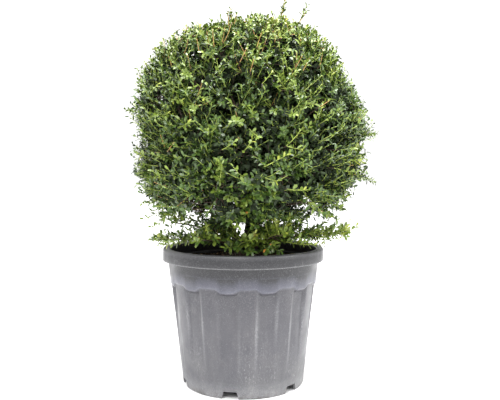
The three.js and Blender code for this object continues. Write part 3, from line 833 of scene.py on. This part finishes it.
LEAF_SHAPE = np.array(
    [
        (0.0, 0.0, 0.0),
        (0.34, 0.185, 0.03), (0.34, 0.0, -0.01), (0.34, -0.185, 0.03),
        (0.74, 0.215, -0.02), (0.74, 0.0, -0.06), (0.74, -0.215, -0.02),
        (1.0, 0.0, -0.13),
    ]
)  # fmt: skip
LEAF_FACES = np.array([(0, 3, 2), (0, 2, 1), (1, 2, 5), (1, 5, 4), (2, 3, 6), (2, 6, 5), (4, 5, 7), (5, 6, 7)])
LEAVES_IN_PIECE = 190000 // len(LEAF_FACES)  # keeps each piece's triangles under the limit


def add_leaves(kind, roots, along, faces, sizes, seed):
    """Leaves of one colour: each grows from its root along a unit vector, its upper side towards faces."""
    count = len(roots)
    if not count:
        return
    number = np.arange(count)
    normal = unit(faces - along * np.sum(faces * along, -1, keepdims=True))
    side = np.cross(normal, along)
    basis = np.stack([along, side, normal], 1)
    shape = np.broadcast_to(LEAF_SHAPE, (count, *LEAF_SHAPE.shape)).copy()
    shape[..., 1] *= (0.86 + 0.3 * chance(seed, number))[:, None]
    shape[..., 2] *= (0.3 + 1.7 * chance(seed + 1, number))[:, None]
    points = np.einsum("npk,nkd->npd", shape, basis) * sizes[:, None, None] + roots[:, None]
    leaf_heaps[kind].append(points)


def leafy_shoots(starts, ends, out, leaves, size, tones, seed, begin, curve=0.12, plain=False, all_tan=False):
    """Slender shoots with alternate leaves; out is the way a shoot's leaves face, tones how light they are."""
    count = len(starts)
    number = np.arange(count)
    size = np.broadcast_to(size, count)
    span = ends - starts
    length = np.linalg.norm(span, axis=-1, keepdims=True)
    first, second = across(span)
    sway = first * (chance(seed + 2, number) - 0.5)[:, None] + second * (chance(seed + 3, number) - 0.5)[:, None]
    middle = starts + 0.5 * span + (sway - 0.5 * UP) * length * curve
    radii = SHOOT_RADIUS * mix(1.0, 0.6, np.linspace(0, 1, 4))[None] * np.sqrt(size / LEAF_LENGTH)[:, None]
    lines = bezier(starts, middle, ends, 4)
    tan = np.zeros(count, bool)
    if plain:
        twig_heap.add(*tubes(lines[:, ::3], radii[:, ::3], 3))
    else:
        share = mix(*TAN_SHOOTS, share_past(ends[:, 2], 780, 170))
        tan = (chance(seed + 9, number) < share) | all_tan
        for heap, mine in ((tan_heap, tan), (green_heap, ~tan)):
            if mine.any():
                heap.add(*tubes(lines[mine], radii[mine], 3))
    for k in range(leaves):
        t = mix(begin, 1.0, (k / (leaves - 1)) ** 0.72)
        place = starts * (1 - t) ** 2 + 2 * middle * t * (1 - t) + ends * t**2
        axis = unit(2 * (1 - t) * (middle - starts) + 2 * t * (ends - middle))
        one, two = across(axis)
        spin = k * GOLDEN_ANGLE + 2 * np.pi * chance(seed + 4, number) + 0.5 * chance(seed + 5 + k, number)
        side = one * np.cos(spin)[:, None] + two * np.sin(spin)[:, None]
        open_ = np.radians(mix(62, 42, t**2.2)) * (0.75 + 0.5 * chance(seed + 30 + k, number))
        along = axis * np.cos(open_)[:, None] + side * np.sin(open_)[:, None]
        jitter = scatter(number, seed + 50 + k, seed + 150 + k, seed + 250 + k)
        faces = unit(0.4 * out + 0.6 * UP + 1.1 * axis + 0.8 * jitter)
        sizes = size * (0.78 + 0.34 * chance(seed + 70 + k, number)) * (1 - 0.28 * t**3)
        tone = tones + 0.34 * (chance(seed + 80 + k, number) - 0.5) + 0.14 * (t - 0.5)
        kinds = np.searchsorted(TONE_STEPS, tone)
        leafy = ~tan | (t > 0.5)
        for step, kind in enumerate(TONE_NAMES):
            mine = (kinds == step) & leafy
            add_leaves(kind, place[mine], along[mine], faces[mine], sizes[mine], seed + k)


# leaf colours from the darkest to the lightest, and the tones at which one gives way to the next
TONE_NAMES = ["straw", "deep", "dark", "mid", "fresh", "lime"]
TONE_STEPS = [-0.33, 0.2, 0.42, 0.68, 1.05]


def leaf_tones(points, seed, youth_and_painted_light):
    """How light each spray's leaves are: darker low down and inside, lighter on top and on new shoots, partly as the
    leaves' own age and partly as painted light and shade.
    """
    luck = chance(seed, np.arange(len(points)))
    patches = 0.5 + 0.5 * np.sin(points[:, 0] * 0.031 + 2) * np.cos(points[:, 2] * 0.037 + points[:, 1] * 0.023)
    # the top is lighter: partly its fresher growth, partly painted light from above
    height = share_past(points[:, 2], 430, 500)
    return 0.32 * luck + 0.22 * patches + 0.44 * height**2.1 + 0.035 + youth_and_painted_light


# where the clipped face stands in or out a little to the left (-1) or right (1): side, height, spread, share
FACE_MARKS = [(1, 0.66, 0.12, 0.035), (1, 0.3, 0.12, -0.02), (-1, 0.14, 0.16, 0.03), (-1, -0.22, 0.2, 0.035)]


def lean_of(out, side, height, spread):
    return np.clip(side * out[:, 0] * 1.6 - 0.4, 0, 1) * np.exp(-(((out[:, 2] - height) / spread) ** 2))


def make_crown():
    bough_points, bough_radii = [], []
    for number, (line, radius) in enumerate(side_bough_lines()):
        start = line[-1]
        if number == 0:
            goal = CROWN + (0, 0, 150)
        else:
            goal = CROWN + unit(start - CROWN * (1, 1, 0)) * (1, 1, 0) * 185 + (0, 0, 40 * (number % 3) - 20)
        lean = start + (line[-1] - line[-3]) * 3.2
        inner = bezier(start, lean, goal, 16)
        whole = np.concatenate([line, inner[1:]])
        taper = mix(radius, radius * BOUGH_TAPER, np.linspace(0, 1, len(line)))
        inner_taper = mix(radius * BOUGH_TAPER, 3.0, np.linspace(0, 1, 16))[1:]
        radii = np.r_[taper, inner_taper]
        wood_heap.add(*bark_tube(whole, radii, 12, 0.05, 2.0 + number))
        bough_points.append(whole[len(line) - 3 :])
        bough_radii.append(radii[len(line) - 3 :])
    bough_points, bough_radii = np.concatenate(bough_points), np.concatenate(bough_radii)

    # first level: the same tips as the part's own twigs
    out1 = spiral_tips(CROWN_TWIGS, 20)
    tips1 = in_crown(out1, TWIG_REACH)
    tips1 = tips1[kept(tips1, 301)]
    lines1, radii1 = grow_twigs(tips1, bough_points, bough_radii, 1.9, 9, 6)
    points1 = lines1[:, 3:].reshape(-1, 3)
    thick1 = radii1[:, 3:].reshape(-1)

    # second level: a tuft's twig for each place on the clipped face
    out2 = spiral_tips(TUFTS, 24)
    number = np.arange(TUFTS)
    middles = spiral_tips(SPRAYS, 29)
    spray = (out2 @ middles.T).argmax(1)
    lower = np.clip(0.6 - out2[:, 2], 0, 1)
    gather = np.stack([0.12 + 0.08 * lower, 0.12 + 0.08 * lower, 0.15 + 0.5 * lower], -1)
    out2 = unit(mix(out2, middles[spray], np.minimum(gather, 0.75)))
    swell = (chance(310, spray) - 0.5) * (0.055 + 0.11 * lower) + (chance(309, number) - 0.5) * 0.03
    tips2 = in_crown(out2, TUFT_REACH + swell)
    loose = np.clip((525 - tips2[:, 2]) / 70, 0, 0.68)
    stay = kept(tips2, 311) & (chance(312, number) > loose)
    tips2, out2, number, swell, spray = tips2[stay], out2[stay], number[stay], swell[stay], spray[stay]
    # low on the ball the twigs end further in, and their shoots lie flatter
    flatter = np.clip((0.25 - out2[:, 2]) / 0.6, 0, 1)
    tips2 = tips2 - unit(out2 * (1, 1, 0)) * 46 * flatter[:, None]
    lines2, _ = grow_twigs(tips2, points1, thick1, 1.1, 6, 4)

    # third level: each tuft's shoots, out to the clipped face
    shares = np.linspace(0, 1, lines2.shape[1])
    low_down = np.clip((CROWN[2] + 60 - tips2[:, 2]) / 240, 0, 1)
    size = LEAF_LENGTH * (0.82 + 0.27 * low_down) * (0.93 + 0.14 * chance(313, number))
    first, second = across(out2)
    rising = UP - out2 * out2[:, 2:3]
    for j in range(TUFT_SHOOTS):
        forward = j < 2
        turn = j * GOLDEN_ANGLE + 6.283 * chance(315, number)
        wide = 8 + 28 * chance(316 + j, number)
        level = first * np.cos(turn)[:, None] * (1 + 0.6 * flatter[:, None])
        aside = (level + second * (np.sin(turn) * (1 - 0.7 * flatter))[:, None]) * wide[:, None]
        aim = unit(out2 * 275 + aside + rising * mix(4, 32, chance(326 + j, number))[:, None])
        trim = (0.95 if forward else 0.89) + 0.035 * chance(330 + j, number) + swell
        trim = trim + sum(share * lean_of(aim, side, height, spread) for side, height, spread, share in FACE_MARKS)
        shoulder = share_past(np.abs(aim[:, 0] - 0.02), 0.06, 0.16) * share_past(aim[:, 2], 0.78, 0.12)
        trim = trim - 0.015 * share_past(aim[:, 2], 0.7, 0.2) - 0.035 * shoulder
        stray = (chance(340 + j, number) < 0.08) * forward * (5 + 10 * chance(350 + j, number)) * (0.4 + low_down)
        ends = in_crown(aim, trim, stray)
        back = mix(0.5, 0.85, flatter) + mix(0.45, 0.15, flatter) * chance(360 + j, number)
        starts = lines2[np.arange(len(lines2)), (back * (len(shares) - 1) + 0.5).astype(int)]
        # a tone lift for each shoot: shoots that end further in are darker and tufts that stand out are lighter, as
        # painted shade and light; strays are lighter as new growth, and sprays differ at random
        youth_and_painted_light = (0.08 if forward else -0.18) + 0.22 * (stray > 0) + 0.26 * (chance(368, spray) - 0.5) + 1.6 * swell
        tones = leaf_tones(ends, 370 + j, youth_and_painted_light)
        leafy_shoots(starts, ends, aim, SHOOT_LEAVES, size, tones, 400 + 131 * j, 0.14, 0.24)

    make_hanging_shoots(tips2, out2, number)

    # dark leaves on short inner shoots, their colour the painted shade deep inside the ball, which keep the ball from
    # being seen through
    out3 = spiral_tips(INNER_SHOOTS, 27)
    number = np.arange(INNER_SHOOTS)
    share = np.choose(number % 5, (0.82, 0.66, 0.82, 0.66, 0.4)) + 0.08 * chance(320, number)
    tips3 = in_crown(out3, share)
    stay = kept(tips3, 321) & (tips3[:, 2] > INNER_LOWEST + 60 * chance(323, number))
    tips3, out3 = tips3[stay], out3[stay]
    points2 = np.concatenate([points1, lines2[:, :-1].reshape(-1, 3)])
    starts = points2[nearest(tips3, points2)]
    leafy_shoots(starts, tips3, out3, INNER_LEAVES, INNER_LEAF_LENGTH, 0.05, 1200, 0.55, plain=True)


def make_hanging_shoots(starts, out, number):
    """Long loose shoots round the ball's lower edge, with sky between them."""
    edge = (out[:, 2] < -0.3) & (out[:, 2] > -0.72)
    starts, out, number = starts[edge], out[edge], number[edge]
    for j in range(2):
        aim = unit(out * (1, 1, 0.35) + 0.8 * scatter(number, 700 + j, 720 + j, 740 + j) - 0.12 * UP)
        length = 42 + 40 * chance(760 + j, number)
        ends = starts + aim * length[:, None]
        flat = np.hypot(ends[:, 0] - CROWN[0], ends[:, 1])
        stay = (ends[:, 2] > HANGING_LOWEST) & (flat < CROWN_RADIUS - 20)
        # these loose shoots are toned lighter, partly as new growth and partly as painted light where the ball shades
        # its lower edge
        tones = leaf_tones(ends, 770 + j, 0.24)[stay]
        leafy_shoots(starts[stay], ends[stay], UP, SHOOT_LEAVES, LEAF_LENGTH * 1.12, tones, 800 + 40 * j, 0.3, 0.15)


def make_strays():
    """Shoots left standing past the clipped face, in the same places as in the part's source."""
    for i, (turn, rise, length) in enumerate(STRAYS):
        out = heading(np.radians(turn), np.radians(rise))[None]
        reach = crown_reach(out)[0]
        foot = CROWN + out * reach * 0.86
        tip = CROWN + out * (reach + length + 6)
        tip = tip + (2.5 * (i % 3 - 1), 2.5 * (i % 2), 0)
        leafy_shoots(foot, tip, out, 17, 14.5, 0.8, 900 + 40 * i, 0.25, 0.06)
        first, second = across(out)
        for j, (start, end) in enumerate(((0.25, 0.74), (0.4, 0.86))):
            aside = first * (9 - 17 * j) + second * (5 * (i % 3) - 5)
            side_foot, side_tip = foot + (tip - foot) * start, foot + (tip - foot) * end + aside
            leafy_shoots(side_foot, side_tip, out, 9, 13.0, 0.7, 3900 + 90 * i + 40 * j, 0.2, 0.06)


# bright shoots that stand out one by one in the photograph, near their places: foot (3), tip (3), leaf length, tone
SHOWN_SHOOTS = np.array([
    15, -60, 352, 30, -138, 398, 20, 0.95,  20, -70, 356, 4, -140, 388, 20, 0.85,
    24, -66, 354, 52, -128, 392, 20, 0.85,  96, -98, 374, 212, -58, 363, 15, 1.0,
    88, -92, 376, 176, -112, 368, 15, 0.9,  -116, -36, 376, -214, -80, 363, 15, 1.0,
    -112, -40, 378, -196, -110, 372, 15, 0.85,  40, -60, 356, 62, -140, 360, 20, 0.5,
    50, -64, 360, 76, -134, 372, 20, 0.6,  64, -60, 362, 96, -120, 352, 20, 0.6,
    -4, -50, 356, -14, -140, 366, 20, 0.6,  8, -60, 352, 22, -146, 356, 20, 0.5,
    -10, -54, 360, -40, -132, 362, 20, 0.7,  -4, -160, 462, 0, -216, 490, 23, 1.0,
    6, -165, 470, 12, -222, 498, 23, 0.85,  114, -120, 484, 248, -118, 506, 17, 1.0,
    120, -150, 496, 214, -164, 520, 17, 0.95,  110, -140, 476, 196, -170, 492, 17, 0.9,
    160, -110, 470, 262, -96, 486, 17, 0.9,  150, -56, 384, 226, -84, 412, 17, 0.75,
    176, -60, 387, 248, -76, 399, 17, 0.85,  140, -60, 382, 196, -104, 410, 17, 0.7,
    204, -66, 388, 252, -96, 394, 16, 0.9,  170, -50, 470, 236, -60, 426, 17, 0.6,
    150, -80, 474, 212, -106, 436, 17, 0.7,  -140, -50, 474, -204, -84, 428, 17, 0.6,
    -120, -76, 470, -172, -110, 418, 17, 0.55,  -158, -36, 478, -232, -70, 446, 17, 0.7,
    -136, -96, 476, -196, -130, 440, 17, 0.5,  -176, -60, 486, -250, -90, 466, 17, 0.7,
    -150, -40, 450, -198, -72, 398, 15, 0.6,  -170, -50, 452, -226, -84, 408, 15, 0.7,
    -128, -70, 446, -160, -106, 394, 15, 0.55,  -186, -46, 462, -248, -70, 428, 16, 0.75,
    -106, -60, 440, -132, -96, 400, 15, 0.6,  48, -282, 555, 103, -294, 584, 17, 0.96,
    48, -278, 533, 78, -294, 525, 17, 0.86,  98, -273, 600, 134, -283, 593, 15, 0.96,
    96, -273, 600, 132, -281, 641, 15, 0.96,  16, -278, 637, 35, -302, 618, 15, 0.91,
    22, -275, 661, 24, -294, 680, 14, 0.86,  120, -261, 655, 128, -277, 682, 15, 0.86,
    -133, -235, 702, -96, -272, 688, 14, 0.86,  -162, -216, 709, -130, -258, 700, 14, 0.96,
    99, -254, 507, 145, -260, 505, 16, 0.96,  -101, -249, 713, -77, -280, 700, 14, 0.86,
    -194, -185, 669, -163, -236, 675, 14, 0.96,  -220, -139, 685, -188, -218, 674, 14, 0.86,
    44, -267, 735, 65, -282, 758, 13, 0.86,  92, -257, 736, 118, -263, 765, 13, 0.86,
    169, -239, 664, 180, -251, 698, 14, 0.96,  -83, -257, 625, -55, -288, 638, 16, 0.86,
    -43, -274, 592, -16, -299, 607, 16, 0.96,  -225, -110, 580, -254, -139, 593, 15, 0.96,
    -199, -158, 559, -248, -120, 566, 15, 0.86,  -176, -187, 536, -222, -159, 531, 16, 0.96,
    224, -195, 595, 281, -159, 606, 15, 0.96,  220, -196, 577, 278, -154, 569, 15, 0.96,
    210, -200, 554, 274, -151, 545, 15, 0.96,  -47, -269, 531, -42, -297, 561, 17, 0.86,
    3, -283, 587, 22, -302, 611, 16, 0.96,  -144, -225, 643, -113, -267, 653, 15, 0.86,
    198, -221, 621, 229, -224, 648, 14, 0.86,  155, -235, 713, 177, -240, 739, 13, 0.96,
    -217, -155, 733, -188, -216, 744, 13, 0.96,  100, -60, 378, 168, -96, 374, 17, 0.7,
    150, -60, 382, 214, -84, 377, 17, 0.75,  180, -66, 384, 238, -90, 380, 16, 0.85,
    110, -50, 380, 150, -120, 384, 17, 0.6,
]).reshape(-1, 8)  # fmt: skip

# bare light brown stems that stand out between the leaves in the photograph: foot (3), tip (3)
TAN_STEMS = np.array([
    -62, -231, 822, -65, -230, 862,  -74, -222, 828, -78, -232, 856,  -96, -222, 813, -101, -230, 844,
    -44, -229, 833, -38, -232, 864,  33, -243, 819, 44, -250, 852,  -31, -175, 882, -33, -180, 912,
    -19, -173, 885, -12, -186, 908,  136, -226, 770, 149, -236, 796,  180, -176, 792, 187, -184, 830,
    120, -233, 777, 135, -242, 804,  -161, -192, 787, -166, -212, 806,  169, -234, 687, 196, -240, 704,
    -178, -187, 602, -184, -220, 628,  -173, -191, 591, -151, -240, 610,  18, -266, 761, 26, -282, 786,
    -4, -260, 783, 13, -276, 814,
]).reshape(-1, 2, 3)  # fmt: skip

# single dead leaves, orange, where the photograph shows them
DEAD_LEAVES = [(-106, -70, 386), (55, -128, 360), (70, -122, 372), (17, -150, 452), (-84, -190, 506)]


def make_shown_shoots():
    """The bright shoots and dead leaves that stand out in the photograph, on twigs from the wood nearest to them."""
    wood = np.concatenate(wood_heap.points)[::7]
    for number, row in enumerate(SHOWN_SHOOTS):
        foot, tip = row[None, :3], row[None, 3:6]
        # a shoot in the ball springs from the ball's own wood, and not from a low bough
        near = wood[wood[:, 2] > BALL_WOOD_Z] if row[2] > BALL_WOOD_Z + 15 else wood
        grow_twigs(foot, near, np.full(len(near), 3.0), 1.2, 8, 4, 0.05)
        leaves = int(np.linalg.norm(tip - foot) / 6.5) + 3
        leafy_shoots(foot, tip, UP, leaves, row[6], row[7], 2400 + 60 * number, 0.1, 0.1)
    feet, tips = TAN_STEMS[:, 0], TAN_STEMS[:, 1]
    grow_twigs(feet, wood, np.full(len(wood), 3.0), 1.2, 8, 4, 0.05)
    leafy_shoots(feet, tips, UP, 6, 15.0, 0.7, 4300, 0.3, 0.05, all_tan=True)
    places = np.array(DEAD_LEAVES, float)
    along = unit(scatter(np.arange(len(places)), 2300, 2301, 2302) - 0.3 * UP)
    faces = np.broadcast_to((0.0, -1.0, 0.2), places.shape)
    add_leaves("straw", places, along, faces, np.full(len(places), 12.0), 2310)


def make_low_sprays():
    """Low boughs under the ball: bare by the trunk, then leafy side shoots to both sides of the stem."""
    for number, (name, turn, reach, foot, tip) in enumerate(LOW_SPRAYS):
        out = heading(np.radians(turn))
        a = np.array([TRUNK_X, 0.0, foot])
        c = a + out * reach
        c[2] = tip
        b = a + out * reach * 0.5
        b[2] = mix(foot, tip, 0.5) + 16
        line = bezier(a, b, c, 20)
        radii = mix(LOW_BOUGH_RADIUS, LOW_TIP_RADIUS * 0.7, np.linspace(0, 1, 20))
        wood_heap.add(*bark_tube(line, radii, 9, 0.05, 10.0 + number))
        count = int(reach / LOW_SHOOT_EVERY)
        k = np.arange(count)
        share = mix(0.24, 0.97, (k / (count - 1)) ** 1.5)
        starts = np.stack([np.interp(share, np.linspace(0, 1, 20), line[:, j]) for j in range(3)], -1)
        axis = unit(c - a)
        side = np.cross(UP, axis) * (2 * chance(1300 + number, k) - 1)[:, None]
        beyond = np.hypot(starts[:, 0], starts[:, 1]) > MOUTH_RADIUS - 50
        rise = mix(np.where(beyond, -0.4, 0.1), 1.6, chance(1320 + number, k)) * (1 - 0.5 * share**3)
        rise = rise * LOW_LOFT.get(name, 1.0)
        along = unit(axis * (0.35 + 0.6 * share[:, None] ** 2) + 1.1 * side + UP * rise[:, None])
        length = (34 + 56 * chance(1340 + number, k)) * (1 - 0.5 * share**3)
        ends = starts + along * length[:, None]
        ends[:, 2] = np.minimum(ends[:, 2], 470)
        hanging = np.where((ends[:, 1] < 0) & (np.abs(ends[:, 0] - 40) < 75), 0.55, 0.1)
        lowest = np.where(chance(1330 + number, k) < hanging, SOIL_TOP + 16, POT_HEIGHT + 22)
        past = np.hypot(ends[:, 0], ends[:, 1]) > MOUTH_RADIUS - 16
        ends[:, 2] = np.maximum(ends[:, 2], np.where(past, POT_HEIGHT + 10, lowest))
        stay = kept(ends, 1350 + number, 0.5)
        # the low sprays are toned as if 260 mm higher and lighter again at their outer ends: painted light in the
        # ball's shade, besides the new growth at the ends
        tones = leaf_tones(ends + (0, 0, 260), 1360 + number, 0.22 + 0.24 * (share > 0.8))[stay]
        leafy_shoots(starts[stay], ends[stay], UP, 8, LOW_LEAF_LENGTH, tones, 1400 + 137 * number, 0.34, 0.1)


def make_foliage():
    crown_and_low = ["crown_ball"] + [f"low_spray_{name}" for name, *_ in LOW_SPRAYS]
    bough_nodes = ["trunk", "bough_leader"] + [f"bough_side_{i + 1}" for i in range(SIDE_BOUGHS)]
    bough_nodes += [f"bough_low_{name}" for name, *_ in LOW_SPRAYS]
    make_trunk()
    make_crown()
    make_strays()
    make_low_sprays()
    make_shown_shoots()
    bark = bark_material("bark", (0.085, 0.062, 0.042), (0.2, 0.155, 0.11))
    twig_bark = bark_material("twig_bark", (0.05, 0.036, 0.024), (0.13, 0.09, 0.055))
    tan = bark_material("tan_bark", (0.52, 0.31, 0.11), (0.70, 0.47, 0.20))
    green = leaf_material("shoot_green", (0.30, 0.38, 0.07), 0.5)
    make_piece("trunk_and_boughs", *wood_heap.arrays(), bark, "bark", bough_nodes)
    make_piece("crown_twigs", *twig_heap.arrays(), twig_bark, "bark", crown_and_low)
    make_piece("green_shoots", *green_heap.arrays(), green, "ball_foliage", crown_and_low)
    make_piece("tan_shoots", *tan_heap.arrays(), tan, "bark", crown_and_low)
    for kind, heaps in leaf_heaps.items():
        material = leaf_material(f"leaf_{kind}", LEAF_COLORS[kind], *DULL.get(kind, ()))
        slot = "low_foliage" if kind in ("fresh", "lime") else "ball_foliage"
        points = np.concatenate(heaps)
        for part, start in enumerate(range(0, len(points), LEAVES_IN_PIECE)):
            some = points[start : start + LEAVES_IN_PIECE]
            faces = for_each(LEAF_FACES, *some.shape[:2])
            make_piece(f"leaves_{kind}_{part + 1}", some.reshape(-1, 3), faces, material, slot, crown_and_low)


make_container()
make_soil()
make_foliage()

# ---------------------------------------------------------------- floor, light and camera


def make_floor():
    mesh = bpy.data.meshes.new("floor")
    half = 30.0
    mesh.from_pydata([(-half, -half, 0), (half, -half, 0), (half, half, 0), (-half, half, 0)], [], [(0, 1, 2, 3)])
    material, tree, shader = new_material("pale_floor", (0.92, 0.92, 0.92), 0.9, 0.1)
    n = Nodes(tree)
    n.link(n.greys(n.noise(3.0), 0.0, 0.9, 1.0, 0.94), shader.inputs["Base Color"])
    mesh.materials.append(material)
    add_object("floor", mesh)


def make_light(kind, name, place, target, power, **size):
    """A light at place that shines towards target."""
    light = bpy.data.lights.new(name, kind)
    light.energy = power
    for key, value in size.items():
        setattr(light, key, value)
    lamp = add_object(name, light)
    lamp.location = place
    lamp.rotation_euler = (Vector(target) - Vector(place)).to_track_quat("-Z", "Y").to_euler()


def make_world():
    """A white studio round the plant, brightest overhead and dimmer on the camera's side."""
    world = bpy.data.worlds.new("studio")
    bpy.context.scene.world = world
    world.use_nodes = True
    back = world.node_tree.nodes["Background"]
    back.inputs["Color"].default_value = (1, 1, 1, 1)
    n = Nodes(world.node_tree, "Generated")
    _, y, z = n.split(n.place)
    strength = n.math("MULTIPLY", n.span(z, 0.0, 1.0, 1.06, 2.2), n.span(y, -0.3, 0.6, 0.95, 1.0))
    n.link(strength, back.inputs["Strength"])


def make_camera():
    camera = add_object("camera", bpy.data.cameras.new("camera"))
    camera.data.sensor_width = SENSOR_WIDTH
    camera.data.lens = FOCAL_PIXELS / IMAGE_WIDTH * SENSOR_WIDTH
    camera.location = CAMERA_PLACE
    camera.rotation_euler = (np.pi / 2 - CAMERA_PITCH, 0, 0)
    bpy.context.scene.camera = camera


make_floor()
make_world()
make_light("SUN", "key", (-0.7, -2.1, 2.2), (0, 0, 0), 1.9, angle=np.radians(26))
make_light("AREA", "top", (0.2, -0.3, 2.6), (0, 0, 0.6), 84, shape="DISK", size=1.2)
make_light("AREA", "side", (1.9, -1.0, 1.3), (0, 0, 0.5), 18, shape="DISK", size=0.9)
make_camera()

bpy.context.scene.view_settings.view_transform = "Standard"
bpy.context.scene.view_settings.look = "None"
